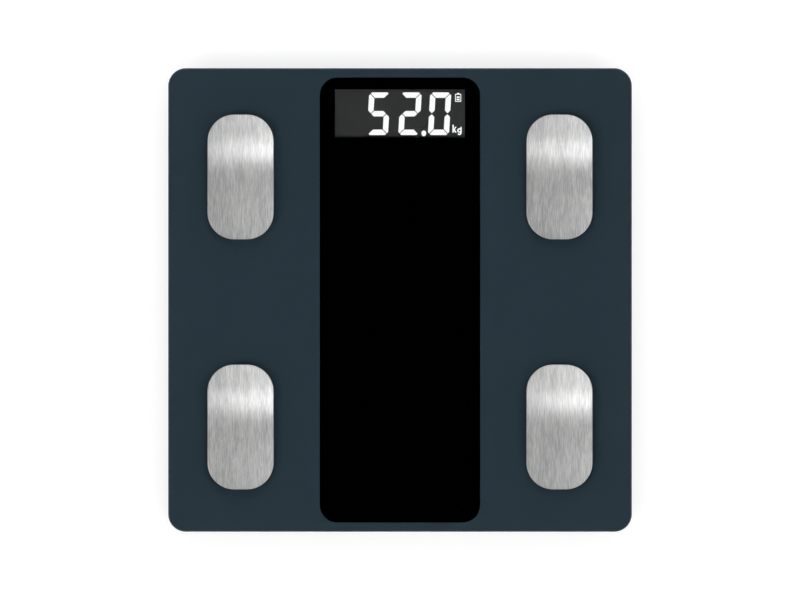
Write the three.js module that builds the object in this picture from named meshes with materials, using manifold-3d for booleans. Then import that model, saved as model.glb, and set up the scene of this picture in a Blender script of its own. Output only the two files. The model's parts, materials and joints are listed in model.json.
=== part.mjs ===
// Digital bathroom scale with body-composition electrodes, built as its separate pieces.
// Millimetres, +Z up. The origin is on the floor under the middle of the glass. +Y points at the display,
// where the toes go, and +X to the right of the person who stands on it.

import * as THREE from 'three';
import { mergeVertices } from 'three/addons/utils/BufferGeometryUtils.js';
import Module from 'manifold-3d';

const wasm = await Module();
wasm.setup();

// ---------------------------------------------------------------- driving dimensions

// Glass platform and the two layers of ink printed on its back
const plateSide = 260;
const plateCornerRadius = 10;
const glassThickness = 5;
const glassEdgeRound = 1.2;
const inkThickness = 0.2;

// Black panel and display window, as left open in the ink
const panelWidth = 90;
const panelMargin = 5.2;        // from the panel's ends to the plate's edges
const panelCornerRadius = 10;
const windowWidth = 73;
const windowHeight = 27;
const windowMargin = 11.9;      // from the window to the plate's edge at the display end

// Stainless electrodes, each on a welded stud that goes down through the glass
const electrodeWidth = 37;
const electrodeLength = 70;
const electrodeCornerRadius = 15;
const electrodeThickness = 0.4;
const electrodeEdgeRound = 0.25;
const electrodeMargins = { side: 22.1, toe: 26, heel: 23.8 };   // to the plate's edges
const studRadius = 1.5;
const studOffset = 18;          // from the electrode's middle towards the plate's middle
const studHoleClearance = 1;
const studTail = 0.8;           // left showing past the nut
const nutHeight = 2.4;
const nutAcrossFlats = 5.5;
const terminalThickness = 0.6;
const terminalRadius = 3.4;
const terminalTongueWidth = 2;
const terminalTongueLength = 7;

// Base housing, a moulded tray that is glued to the glass by its rim
const glassOverhang = 5;
const footStandoff = 4;         // from the floor to the underside of the tray
const trayWall = 2;
const trayFloor = 2;
const trayCornerRadius = 13;
const traySweep = 8;            // how far the side curls in on its way down
const glueBeadHeight = 0.8;
const glueBeadWidth = 1.4;
const ribThickness = 1.2;
const ribPitch = 40;

// Feet: a cap that floats in the tray, its rubber pad and its load cell
const footWallGap = 5.5;        // from a foot's well to the tray's wall at its rim
const footRadius = 18;
const footClearance = 0.5;
const footTravel = 0.5;         // bend of the load cell at full load
const padRadius = 15;
const padThickness = 2;
const padRecess = 0.8;
const padGrooveDepth = 0.7;
const padGrooveRadius = 7.3;
const padGrooveWidth = 2.6;
const capWeb = 1.5;
const flangeCornerRadius = 8;
const flangeThickness = 2;
const lipHeight = 1.6;
const lipWidth = 2.2;
const cellSide = 34;
const cellCornerRadius = 5;
const cellThickness = 2.6;
const cellClearance = 0.3;
const tongueWidth = 15;
const tongueLength = 17;
const cellSlotWidth = 1.8;
const pottingLength = 8;
const pottingThickness = 1;
const wellWall = 1.5;
const nubRadius = 3.5;
const nubLength = 1.5;
const bracketThickness = 2;
const legWidth = 8;
const legLength = 5;

// Battery bay for three AAA cells side by side, and their contacts
const batteryDiameter = 10.5;
const batteryLength = 44.5;
const batteryTipRadius = 1.9;
const batteryTipHeight = 0.8;
const batteryClearance = 0.5;
const batteryDirections = [1, -1, 1];
const bayCentreY = -20;
const bayWall = 1.5;
const bayRoof = 1;
const springLength = 4;
const springTurns = 3;
const springWireRadius = 0.35;
const contactThickness = 0.4;
const contactWidth = 7.2;
const contactHeight = 9;
const contactDimple = 0.5;
const tagWidth = 3;
const tagHeight = 1;
const tagStandout = 1.4;

// Battery door: two hooks over the lip at its near end, and a sprung latch at the other
const doorThickness = 1.8;
const doorCornerRadius = 3;
const doorLedge = 4.5;
const doorClearance = 0.5;
const ledgeThickness = 1.5;
const hookWidth = 7;
const hookSpacing = 24;
const hookReach = 2;
const hookThickness = 1.2;
const lipThickness = 0.9;
const latchWidth = 10;
const latchLength = 10;
const latchReach = 2.4;
const latchWebHeight = 2.2;
const latchWebThickness = 1.2;
const latchGrips = 3;
const gripWidth = 0.8;
const gripDepth = 0.4;
const fingerDishRadius = 9;
const fingerDishDepth = 1.2;

// Display stack and circuit board
const lcdBorderX = 3;
const lcdBorderY = 2;
const lcdThickness = 2;
const lcdStep = 3;              // ledge of the rear glass, where its contacts are
const backlightThickness = 2.6;
const gasketThickness = 0.7;
const gasketClearance = 0.5;    // from the window's edge to the foam
const frameWall = 1.2;
const frameCornerRadius = 1.5;
const boardThickness = 1.6;
const boardCornerRadius = 1.5;
const boardScrewFlange = 6;     // board left and right of the display frame, for its screws
const boardPartsDepth = 14;     // board nearer the heels than the display frame, for its parts
const blobRadius = 4.5;
const blobHeight = 1.4;
const bossRadius = 3;
const screwRadius = 1;
const screwLength = 5;
const screwHeadRadius = 2.4;
const screwHeadHeight = 1.4;
const screwInset = 3.4;

// Unit button and the switch above it
const buttonRadius = 3.7;
const buttonClearance = 0.3;
const buttonProud = 0.4;
const buttonTravel = 0.4;
const buttonFlangeRadius = 5;
const buttonFlangeThickness = 0.8;
const buttonX = 24;
const buttonDishRadius = 7.5;
const buttonDishDepth = 0.7;
const switchSide = 6;
const switchHeight = 2.5;
const plungerRadius = 1.6;
const plungerLength = 0.7;
const plungerDepth = 1.2;       // how far the plunger goes into the switch

// Leads: one core for each electrode and each end of the battery, three cores for each load cell
const coreRadius = 0.6;
const bundleRadius = 0.7;
const leadFloorGap = 0.8;
const leadNotchClearance = 1.5;
const leadLanes = { cell: 5, electrode: 9 };        // past the board's side, on the way up from the heels
const leadRows = { cellHeel: 8.4, electrodeHeel: 11.4, electrodeToe: 14.9, cellToe: 18.4 };   // up the board

// Fits
const bondGap = 0.1;            // glue, or a fit with no play
const looseGap = 0.3;           // a fit with play
const overlap = 0.5;            // how far a boss or rib starts inside the wall that it grows from
const margin = 1;               // how far a cutter runs past what it cuts

// ---------------------------------------------------------------- levels and places that follow

const trayFloorZ = footStandoff + trayFloor;
const doorTopZ = footStandoff + doorThickness;
const ledgeZ = doorTopZ + bondGap * 2;
const batteryZ = ledgeZ + bondGap * 2 + batteryDiameter / 2;
const bayTopZ = batteryZ + batteryDiameter / 2 + looseGap;
const rimZ = bayTopZ + bayRoof;
const trayDepth = rimZ - footStandoff;
const inkBottomZ = rimZ + glueBeadHeight;
const inkMiddleZ = inkBottomZ + inkThickness;
const inkTopZ = inkMiddleZ + inkThickness;
const glassBottomZ = inkTopZ + bondGap / 2;
const glassTopZ = glassBottomZ + glassThickness;
const electrodeZ = glassTopZ + bondGap / 2;
const terminalZ = inkBottomZ - bondGap - terminalThickness;
const nutTopZ = terminalZ - bondGap;

const traySide = plateSide - 2 * glassOverhang;

const capBottomZ = padThickness - padRecess;
const flangeZ = trayFloorZ + looseGap;
const cellZ = flangeZ + flangeThickness;
const cellTopZ = cellZ + cellThickness;
const nubZ = cellTopZ + footTravel + bondGap;
const wellTopZ = nubZ + nubLength;
const flangeSide = cellSide + 2 * (cellClearance + lipWidth);
const wellInner = flangeSide + 2 * footClearance;
const wellOuter = wellInner + 2 * wellWall;
const footCentre = traySide / 2 - trayWall - footWallGap - wellOuter / 2;
const wellCornerRadius = flangeCornerRadius + footClearance;
const tailZ = cellTopZ + bundleRadius - bondGap;

const contactAllowance = bondGap + contactThickness + looseGap;
const bayLength = batteryLength + springLength + contactDimple + 2 * contactAllowance;
const batteryPitch = batteryDiameter + batteryClearance;
const bayWidth = batteryDirections.length * batteryPitch + batteryClearance;
const doorWidth = bayWidth + 2 * doorLedge;
const doorLength = bayLength + 2 * doorLedge;
const recessWidth = doorWidth + 2 * doorClearance;
const recessLength = doorLength + 2 * doorClearance;
// The door turns on the lip's lower edge, and its hooks swing up through the slots behind the lip.
const doorPivotY = -doorLength / 2 - doorClearance / 2;
const hookZ = footStandoff + lipThickness + looseGap;
const hookTipY = -recessLength / 2 - hookReach;
const hookSwing = Math.hypot(hookTipY - doorPivotY, hookZ + hookThickness - footStandoff);
const latchWebY = bayLength / 2 + bayWall + doorClearance + looseGap;

const windowY = plateSide / 2 - windowMargin - windowHeight / 2;
const lcdTopZ = inkBottomZ - bondGap - gasketThickness;
const lcdZ = lcdTopZ - lcdThickness;
const boardTopZ = lcdZ - backlightThickness;
const boardZ = boardTopZ - boardThickness;
const lcdWidth = windowWidth + 2 * lcdBorderX;
const lcdHeight = windowHeight + 2 * lcdBorderY;
const frameWidth = lcdWidth + 2 * (looseGap + frameWall);
const frameHeight = lcdHeight + 2 * (looseGap + frameWall);
const boardWidth = frameWidth + 2 * boardScrewFlange;
const boardHeight = frameHeight + boardPartsDepth;
const boardY = windowY - boardPartsDepth / 2;
const boardNearY = boardY - boardHeight / 2;
const boardFarY = boardY + boardHeight / 2;
const partsY = boardNearY + boardPartsDepth / 2;
const switchZ = boardZ - switchHeight;
const plungerTipZ = switchZ - plungerLength;

const corners = [
  { name: 'toe_left', x: -1, y: 1 },
  { name: 'toe_right', x: 1, y: 1 },
  { name: 'heel_left', x: -1, y: -1 },
  { name: 'heel_right', x: 1, y: -1 },
];

function electrodePlace(corner) {
  const x = plateSide / 2 - electrodeMargins.side - electrodeWidth / 2;
  const endMargin = corner.y > 0 ? electrodeMargins.toe : electrodeMargins.heel;
  const y = plateSide / 2 - endMargin - electrodeLength / 2;
  return new THREE.Vector2(corner.x * x, corner.y * y);
}

function studPlace(corner) {
  return electrodePlace(corner).add(new THREE.Vector2(0, -corner.y * studOffset));
}

function screwPlaces() {
  const x = frameWidth / 2 + boardScrewFlange / 2;
  const [near, far] = [boardNearY + screwInset, boardFarY - screwInset];
  return [[-x, near], [x, near], [-x, far], [x, far]];
}

// ---------------------------------------------------------------- materials

function material(color, roughness, metalness = 0, extra = {}) {
  return new THREE.MeshStandardMaterial({ color, roughness, metalness, ...extra });
}

const materials = {
  glass: material('#dfe9e6', 0.05, 0, { transparent: true, opacity: 0.25 }),
  slateInk: material('#29363f', 0.5),
  blackInk: material('#050505', 0.5),
  brushedSteel: material('#c4c4c4', 0.32, 1),
  blackPlastic: material('#1d2022', 0.55),
  rubber: material('#17181a', 0.85),
  glue: material('#d8d8d2', 0.6),
  stampedSteel: material('#b9bcc0', 0.4, 1),
  whitePlastic: material('#e6e6e1', 0.6),
  batterySleeve: material('#3f6fa8', 0.35, 0.4),
  nickel: material('#cfcbbf', 0.3, 1),
  board: material('#1f6a44', 0.45),
  lcd: material('#333333', 0.15),
  lightGuide: material('#eef1f4', 0.4),
  foam: material('#101010', 0.95),
  epoxy: material('#0c0c0d', 0.35),
  leadSleeve: material('#c0392b', 0.5),
};

// ---------------------------------------------------------------- solids from three.js geometry

// A closed geometry as a manifold solid, from its positions alone.
function solidOf(geometry) {
  geometry.deleteAttribute('normal');
  geometry.deleteAttribute('uv');
  const merged = mergeVertices(geometry, 1e-4);
  const corner = merged.index.array;
  const triangles = [];
  for (let i = 0; i < corner.length; i += 3) {
    const [a, b, c] = corner.slice(i, i + 3);
    if (a !== b && b !== c && c !== a) triangles.push(a, b, c);
  }
  return new wasm.Manifold(new wasm.Mesh({
    numProp: 3,
    vertProperties: merged.attributes.position.array,
    triVerts: new Uint32Array(triangles),
  }));
}

function geometryOf(solid) {
  const { vertProperties, triVerts } = solid.getMesh();
  const geometry = new THREE.BufferGeometry();
  geometry.setAttribute('position', new THREE.BufferAttribute(vertProperties, 3));
  geometry.setIndex(new THREE.BufferAttribute(triVerts, 1));
  geometry.computeVertexNormals();
  return geometry;
}

function union(...solids) {
  return solids.reduce((whole, solid) => whole.add(solid));
}

function roundedRect(width, height, radius) {
  const x = width / 2 - radius;
  const y = height / 2 - radius;
  const quarter = Math.PI / 2;
  return new THREE.Shape()
    .absarc(x, y, radius, 0, quarter)
    .absarc(-x, y, radius, quarter, 2 * quarter)
    .absarc(-x, -y, radius, 2 * quarter, 3 * quarter)
    .absarc(x, -y, radius, 3 * quarter, 4 * quarter);
}

function circle(radius) {
  return roundedRect(2 * radius, 2 * radius, radius);
}

function rectangle(width, height) {
  const [x, y] = [width / 2, height / 2];
  return new THREE.Shape().moveTo(x, y).lineTo(-x, y).lineTo(-x, -y).lineTo(x, -y);
}

function hexagon(cornerRadius) {
  const points = [];
  for (let angle = 0; angle < 360; angle += 60) {
    const turn = THREE.MathUtils.degToRad(angle);
    points.push(new THREE.Vector2(cornerRadius * Math.cos(turn), cornerRadius * Math.sin(turn)));
  }
  return new THREE.Shape(points);
}

// A flat outline pulled up from z0 to z1. A quarter turn of arc gets 2 * fineness facets.
function extrude(shape, z0, z1, fineness = 3) {
  const settings = { depth: z1 - z0, bevelEnabled: false, curveSegments: fineness };
  return solidOf(new THREE.ExtrudeGeometry(shape, settings).translate(0, 0, z0));
}

// A box between two opposite corners, given as pairs in any order.
function block([x0, x1], [y0, y1], [z0, z1]) {
  return extrude(rectangle(Math.abs(x1 - x0), Math.abs(y1 - y0)), z0, z1)
    .translate((x0 + x1) / 2, (y0 + y1) / 2, 0);
}

// A profile of [radius, z] pairs, from the axis back to the axis, turned about Z.
function revolve(profile, segments = 24) {
  const points = profile.map(([radius, z]) => new THREE.Vector2(radius, z));
  return solidOf(new THREE.LatheGeometry(points, segments).rotateX(Math.PI / 2));
}

// Outlines of equal point count, each at its own z from the lowest up, joined by straight walls.
function loft(rings, fineness = 3) {
  const outlines = rings.map(({ shape }) => {
    const points = shape.getPoints(fineness);
    if (points[0].distanceTo(points.at(-1)) < 1e-6) points.pop();
    return points;
  });
  const count = outlines[0].length;
  const positions = outlines.flatMap((points, i) => points.flatMap((p) => [p.x, p.y, rings[i].z]));
  const index = [];
  for (let ring = 0; ring < rings.length - 1; ring++) {
    for (let i = 0; i < count; i++) {
      const [a, b] = [ring * count + i, ring * count + (i + 1) % count];
      index.push(a, b, b + count, a, b + count, a + count);
    }
  }
  const top = (rings.length - 1) * count;
  for (const [a, b, c] of THREE.ShapeUtils.triangulateShape(outlines[0], [])) index.push(a, c, b);
  for (const [a, b, c] of THREE.ShapeUtils.triangulateShape(outlines.at(-1), [])) {
    index.push(top + a, top + b, top + c);
  }
  const geometry = new THREE.BufferGeometry();
  geometry.setAttribute('position', new THREE.Float32BufferAttribute(positions, 3));
  geometry.setIndex(index);
  return solidOf(geometry);
}

// A flat slab whose upper edge, and lower edge if it has one, is rounded over.
function roundedSlab(width, height, radius, [z0, z1], upperRound, lowerRound, steps, fineness) {
  const levels = lowerRound > 0 ? [] : [[0, z0]];
  for (let i = 0; i <= steps && lowerRound > 0; i++) {
    const angle = i / steps * Math.PI / 2;
    levels.push([lowerRound * (1 - Math.sin(angle)), z0 + lowerRound * (1 - Math.cos(angle))]);
  }
  for (let i = 0; i <= steps; i++) {
    const angle = i / steps * Math.PI / 2;
    levels.push([upperRound * (1 - Math.cos(angle)), z1 - upperRound * (1 - Math.sin(angle))]);
  }
  return loft(levels.map(([inset, z]) => ({
    shape: roundedRect(width - 2 * inset, height - 2 * inset, radius - inset), z,
  })), fineness);
}

// A section carried along a curve, closed at both ends.
function sweep(section, curve, steps) {
  const settings = { steps, extrudePath: curve, bevelEnabled: false };
  return solidOf(new THREE.ExtrudeGeometry(section, settings));
}

// A smooth curve through its points, which is stepped from point to point and not by its length, so
// that its bends get the short steps.
class Route extends THREE.CatmullRomCurve3 {
  constructor(points) {
    super(points.map((p) => new THREE.Vector3(...p)), false, 'centripetal');
  }

  getPointAt(u, target) {
    return this.getPoint(u, target);
  }

  getTangentAt(u, target) {
    return this.getTangent(u, target);
  }
}

// ---------------------------------------------------------------- glass platform and ink

function studHoles([z0, z1]) {
  const hole = extrude(circle(studRadius + studHoleClearance), z0 - margin, z1 + margin, 1);
  return union(...corners.map((corner) => {
    const { x, y } = studPlace(corner);
    return hole.translate(x, y, 0);
  }));
}

function glassPlatform() {
  const levels = [glassBottomZ, glassTopZ];
  return roundedSlab(plateSide, plateSide, plateCornerRadius, levels, glassEdgeRound, glassEdgeRound, 2, 3)
    .subtract(studHoles(levels));
}

// A layer of ink stops short of the polished edge.
function inkLayer(levels) {
  const side = plateSide - 2 * glassEdgeRound;
  return extrude(roundedRect(side, side, plateCornerRadius - glassEdgeRound), ...levels, 2)
    .subtract(studHoles(levels));
}

function slateInk() {
  const panel = roundedRect(panelWidth, plateSide - 2 * panelMargin, panelCornerRadius);
  return inkLayer([inkMiddleZ, inkTopZ])
    .subtract(extrude(panel, inkMiddleZ - margin, inkTopZ + margin, 2));
}

// The black ink backs the coloured ink all over and leaves only the display window open.
function blackInk() {
  const window = extrude(rectangle(windowWidth, windowHeight), inkBottomZ - margin, inkMiddleZ + margin);
  return inkLayer([inkBottomZ, inkMiddleZ]).subtract(window.translate(0, windowY, 0));
}

function glueBead() {
  const outset = (trayWall - glueBeadWidth) / 2;
  const inset = outset + glueBeadWidth;
  const bead = roundedRect(traySide - 2 * outset, traySide - 2 * outset, trayCornerRadius - outset);
  bead.holes.push(roundedRect(traySide - 2 * inset, traySide - 2 * inset, trayCornerRadius - inset));
  return extrude(bead, rimZ, inkBottomZ, 2);
}

// ---------------------------------------------------------------- electrodes

// The stud is welded on the side of the pad that is nearer the plate's middle.
function electrode(corner) {
  const levels = [electrodeZ, electrodeZ + electrodeThickness];
  const pad = roundedSlab(electrodeWidth, electrodeLength, electrodeCornerRadius, levels,
    electrodeEdgeRound, 0, 1, 3);
  const studBottomZ = nutTopZ - nutHeight - studTail;
  const stud = extrude(circle(studRadius), studBottomZ, electrodeZ + electrodeThickness / 2, 1);
  return pad.add(stud.translate(0, -corner.y * studOffset, 0));
}

function hexNut() {
  const nut = hexagon(nutAcrossFlats / Math.sqrt(3));
  nut.holes.push(circle(studRadius + bondGap));
  return extrude(nut, nutTopZ - nutHeight, nutTopZ, 1);
}

// ---------------------------------------------------------------- base housing

// One level of the tray's side, which is a quarter of an ellipse from its floor up to its rim.
function trayLevel(z, wall) {
  const drop = THREE.MathUtils.clamp((rimZ - z) / trayDepth, 0, 1);
  const inset = traySweep * (1 - Math.sqrt(1 - drop * drop)) + wall;
  const side = traySide - 2 * inset;
  return { shape: roundedRect(side, side, Math.max(trayCornerRadius - inset, 1)), z };
}

// The tray's outline up to its rim, taken in by a share of its wall and floor.
function trayForm(share, topZ, steps) {
  const lowest = footStandoff + share * trayFloor;
  const levels = [];
  for (let i = 0; i <= steps; i++) {
    const rise = 1 - Math.cos(i / steps * Math.PI / 2);
    levels.push(trayLevel(THREE.MathUtils.lerp(lowest, topZ, rise), share * trayWall));
  }
  return loft(levels);
}

function atFeet(solid) {
  return union(...corners.map((corner) => solid
    .rotate([0, 0, corner.x > 0 ? 0 : 180])
    .translate(corner.x * footCentre, corner.y * footCentre, 0)));
}

function wellBlock() {
  const outline = roundedRect(wellOuter, wellOuter, wellCornerRadius + wellWall);
  return extrude(outline, trayFloorZ - overlap, wellTopZ, 1.5);
}

// Room for the cap's flange, its round opening in the floor, and a notch for the lead.
function wellCut() {
  const room = extrude(roundedRect(wellInner, wellInner, wellCornerRadius), trayFloorZ, rimZ + margin, 1.5);
  const hole = extrude(circle(footRadius + footClearance), footStandoff - margin, trayFloorZ + margin);
  const notchHalf = bundleRadius + looseGap;
  const notch = block([-wellOuter / 2 - margin, 0], [-notchHalf, notchHalf],
    [tailZ - notchHalf, wellTopZ + margin]);
  return union(room, hole, notch);
}

// A channel through the ribs along a lead, as a straight cut for each short stretch of it.
function leadChannel(route) {
  const curve = new Route(route.map(([x, y]) => [x, y, 0]));
  const points = curve.getSpacedPoints(route.length);
  const width = 2 * (bundleRadius + leadNotchClearance);
  return union(...points.slice(1).map((point, i) => {
    const stretch = point.clone().sub(points[i]);
    const middle = point.clone().lerp(points[i], 0.5);
    return extrude(rectangle(stretch.length() + width / 2, width), trayFloorZ, rimZ + margin)
      .rotate([0, 0, THREE.MathUtils.radToDeg(Math.atan2(stretch.y, stretch.x))])
      .translate(middle.x, middle.y, 0);
  }));
}

// What the lattice of ribs keeps clear of: wells and their lids, the board, the studs and the leads.
function ribClearances() {
  const top = rimZ + margin;
  const reach = wellOuter / 2 + looseGap + wellWall + margin;
  const boardX = boardWidth / 2 + margin;
  const pocket = extrude(circle(terminalRadius + margin), trayFloorZ, top, 1);
  return union(
    atFeet(block([-reach, reach], [-reach, reach], [trayFloorZ, top])),
    block([-boardX, boardX], [boardNearY - boardPartsDepth / 2, boardFarY + margin], [trayFloorZ, top]),
    ...corners.map((corner) => pocket.translate(studPlace(corner).x, studPlace(corner).y, 0)),
    ...leadRoutes().map(leadChannel),
  );
}

function ribs() {
  const reach = traySide / 2 - trayWall / 2;
  const half = ribThickness / 2;
  const levels = [trayFloorZ - overlap, rimZ];
  const lines = [];
  const outermost = Math.floor((reach - traySweep) / ribPitch) * ribPitch;
  for (let place = -outermost; place <= outermost; place += ribPitch) {
    lines.push(block([-reach, reach], [place - half, place + half], levels));
    lines.push(block([place - half, place + half], [-reach, reach], levels));
  }
  return union(...lines).subtract(ribClearances());
}

function boardBosses() {
  const boss = extrude(circle(bossRadius), trayFloorZ - overlap, boardZ, 1);
  return union(...screwPlaces().map(([x, y]) => boss.translate(x, y, 0)));
}

function bossHoles() {
  const tipZ = boardTopZ - screwLength;
  const hole = extrude(circle(screwRadius + bondGap), tipZ - looseGap, boardZ + margin, 1);
  return union(...screwPlaces().map(([x, y]) => hole.translate(x, y, 0)));
}

// The bay's walls and roof, and the thicker floor that its door is let into.
function bayBlock() {
  const bottom = trayFloorZ - overlap;
  const recessX = recessWidth / 2 + bayWall;
  const [nearY, farY] = [hookTipY - doorClearance - bayWall, recessLength / 2 + latchReach + bayWall];
  const [x, y] = [bayWidth / 2 + bayWall, bayLength / 2 + bayWall];
  return union(
    block([-recessX, recessX], [nearY, farY], [bottom, ledgeZ + ledgeThickness]),
    block([-x, x], [-y, y], [bottom, rimZ]),
  ).translate(0, bayCentreY, 0);
}

// Behind the lip a hook has its slot, and inside the recess the slot goes on up through the ledge.
function hookSlot() {
  const half = hookWidth / 2 + doorClearance;
  const top = ledgeZ + ledgeThickness + margin;
  return block([-half, half], [hookTipY - doorClearance, doorPivotY + hookSwing],
    [footStandoff + lipThickness, top]);
}

function latchSlot() {
  const half = latchWidth / 2 + doorClearance;
  const end = doorLength / 2 + latchReach + doorClearance;
  const webHalf = latchWidth / 2 - margin + doorClearance;
  const below = footStandoff - margin;
  const dish = extrude(circle(fingerDishRadius), below, footStandoff + fingerDishDepth);
  return union(
    block([-half, half], [0, end], [below, ledgeZ]),
    block([-webHalf, webHalf], [latchWebY - doorClearance, recessLength / 2],
      [below, ledgeZ + ledgeThickness + margin]),
    dish.translate(0, doorLength / 2, 0),
  );
}

// A slot in the bay's end wall for a solder tag, at one battery's place.
function tagSlot(x, end) {
  const half = tagWidth / 2 + looseGap;
  const height = tagHeight / 2 + looseGap;
  const y = end * bayLength / 2;
  return block([x - half, x + half], [y - end * margin, y + end * (bayWall + margin)],
    [batteryZ - height, batteryZ + height]);
}

function bayCut() {
  const [x, y] = [bayWidth / 2, bayLength / 2];
  const below = footStandoff - margin;
  const recess = roundedRect(recessWidth, recessLength, doorCornerRadius + doorClearance);
  return union(
    block([-x, x], [-y, y], [below, bayTopZ]),
    extrude(recess, below, ledgeZ, 2),
    hookSlot().translate(-hookSpacing / 2, 0, 0),
    hookSlot().translate(hookSpacing / 2, 0, 0),
    latchSlot(),
    tagSlot(-batteryPitch, 1),
    tagSlot(batteryPitch, -1),
  ).translate(0, bayCentreY, 0);
}

// A hole for the button, in the middle of a shallow dish for the fingertip.
function buttonCut() {
  const bottom = footStandoff - margin;
  const dishFloor = buttonRadius + 2 * buttonClearance;
  const dish = revolve([[0, bottom], [buttonDishRadius, bottom], [buttonDishRadius, footStandoff],
    [dishFloor, footStandoff + buttonDishDepth], [0, footStandoff + buttonDishDepth]]);
  const hole = extrude(circle(buttonRadius + buttonClearance), bottom, trayFloorZ + margin);
  return dish.add(hole).translate(buttonX, partsY, 0);
}

// Where the board comes near the tray's far wall, the wall is relieved for it.
function boardRelief() {
  const x = boardWidth / 2 + looseGap;
  return block([-x, x], [boardY, boardFarY + looseGap], [boardZ - looseGap, rimZ + margin]);
}

// Everything inside the tray ends in the middle of its wall, where it is one with it.
function baseHousing() {
  const fittings = union(atFeet(wellBlock()), ribs(), boardBosses(), bayBlock());
  return trayForm(0, rimZ, 6)
    .subtract(trayForm(1, rimZ + margin, 3))
    .add(fittings.intersect(trayForm(0.5, rimZ, 3)))
    .subtract(atFeet(wellCut()))
    .subtract(bossHoles())
    .subtract(bayCut())
    .subtract(buttonCut())
    .subtract(boardRelief());
}

// ---------------------------------------------------------------- feet

// A rubber disc with one groove round its sole.
function footPad() {
  const half = padGrooveWidth / 2;
  const slope = half / 2;
  return revolve([
    [0, 0], [padGrooveRadius - half, 0], [padGrooveRadius - slope, padGrooveDepth],
    [padGrooveRadius + slope, padGrooveDepth], [padGrooveRadius + half, 0],
    [padRadius - padRecess, 0], [padRadius, padRecess], [padRadius, padThickness], [0, padThickness],
  ], 16);
}

// A round skirt through the tray's floor, and above it a square flange with a lip round the load cell.
function footCap() {
  const padRoof = padThickness + bondGap;
  const sockets = padRadius + looseGap;
  const round = (footRadius - sockets) / 3;
  const skirt = revolve([
    [0, padRoof], [sockets, padRoof], [sockets, capBottomZ], [footRadius - round, capBottomZ],
    [footRadius, capBottomZ + round], [footRadius, flangeZ + overlap], [0, flangeZ + overlap],
  ], 20);
  const flangeOutline = roundedRect(flangeSide, flangeSide, flangeCornerRadius);
  const flange = extrude(flangeOutline, flangeZ, cellZ + lipHeight, 1.5);
  const nestSide = cellSide + 2 * cellClearance;
  const nestOutline = roundedRect(nestSide, nestSide, cellCornerRadius);
  const nest = extrude(nestOutline, cellZ, cellZ + lipHeight + margin, 1);
  const hollow = extrude(circle(padRadius - capWeb), padRoof + capWeb, cellZ + margin, 1.5);
  return union(skirt, flange).subtract(nest).subtract(hollow);
}

// A steel plate with a tongue cut free on three sides. The potted gauge is on the tongue's root,
// and its cores leave over the plate's edge.
function loadCell() {
  const plate = roundedRect(cellSide, cellSide, cellCornerRadius);
  const [root, tip, half] = [-tongueLength / 2, tongueLength / 2, tongueWidth / 2];
  plate.holes.push(new THREE.Path()
    .moveTo(root, half).lineTo(tip, half).lineTo(tip, -half).lineTo(root, -half)
    .lineTo(root, -half - cellSlotWidth).lineTo(tip + cellSlotWidth, -half - cellSlotWidth)
    .lineTo(tip + cellSlotWidth, half + cellSlotWidth).lineTo(root, half + cellSlotWidth));
  const potting = extrude(roundedRect(pottingLength, tongueWidth / 2, 2),
    cellTopZ - overlap, cellTopZ + pottingThickness, 1);
  const tail = new Route([[root, 0, tailZ], [-wellInner / 2, 0, tailZ]]);
  return extrude(plate, cellZ, cellTopZ, 1)
    .add(potting.translate(root, 0, 0))
    .add(sweep(hexagon(bundleRadius), tail, 1));
}

// The lid of the well: its nub bears on the tongue, its cross carries the glass, and its two legs
// reach down outside the well.
function cellBracket() {
  const outline = roundedRect(wellOuter, wellOuter, wellCornerRadius + wellWall);
  const tip = nubRadius * 0.7;
  const nub = revolve([[0, nubZ], [tip, nubZ], [nubRadius, nubZ + nubLength / 2],
    [nubRadius, wellTopZ + overlap], [0, wellTopZ + overlap]], 8);
  const half = ribThickness / 2;
  const reach = wellOuter / 2 - wellCornerRadius / 2;
  const crossLevels = [wellTopZ + overlap, inkBottomZ - looseGap];
  const legY = wellOuter / 2 + looseGap;
  const legHalf = legWidth / 2;
  const topZ = wellTopZ + bracketThickness;
  const legs = [1, -1].flatMap((side) => [
    block([-legHalf, legHalf], [side * legY, side * (legY + wellWall)], [wellTopZ - legLength, topZ]),
    block([-legHalf, legHalf], [side * (legY - margin), side * (legY + wellWall)], [wellTopZ, topZ]),
  ]);
  return union(extrude(outline, wellTopZ, topZ, 1), nub,
    block([-reach, reach], [-half, half], crossLevels),
    block([-half, half], [-reach, reach], crossLevels),
    ...legs);
}

// ---------------------------------------------------------------- batteries and their contacts

// One cell standing on its negative end.
function battery() {
  const radius = batteryDiameter / 2;
  const bevel = 0.5;
  const shoulder = batteryLength - batteryTipHeight;
  return revolve([[0, 0], [radius - bevel, 0], [radius, bevel], [radius, shoulder - bevel],
    [radius - bevel, shoulder], [batteryTipRadius, shoulder], [batteryTipRadius, batteryLength],
    [0, batteryLength]], 16);
}

class ConicalCoil extends THREE.Curve {
  getPoint(t, target = new THREE.Vector3()) {
    const angle = 2 * Math.PI * springTurns * t;
    const radius = THREE.MathUtils.lerp(contactWidth / 2 - springWireRadius, batteryTipRadius, t);
    const height = contactThickness + springLength - 2 * springWireRadius;
    return target.set(radius * Math.cos(angle), radius * Math.sin(angle), height * t);
  }
}

// A spring that rises from its plate along +Z.
function contactSpring() {
  const coil = sweep(hexagon(springWireRadius), new ConicalCoil(), springTurns * 5);
  return coil.translate(0, 0, springWireRadius);
}

function contactDome() {
  return revolve([[0, 0], [batteryTipRadius, 0], [batteryTipRadius, contactThickness],
    [batteryTipRadius / 2, contactThickness + contactDimple], [0, contactThickness + contactDimple]], 8);
}

// A plate that faces +Z, behind the batteries from x0 to x1.
function contactPlate(x0, x1) {
  const outline = roundedRect(x1 - x0 + contactWidth, contactHeight, 1);
  return extrude(outline, 0, contactThickness, 1).translate((x0 + x1) / 2, 0, 0);
}

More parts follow.
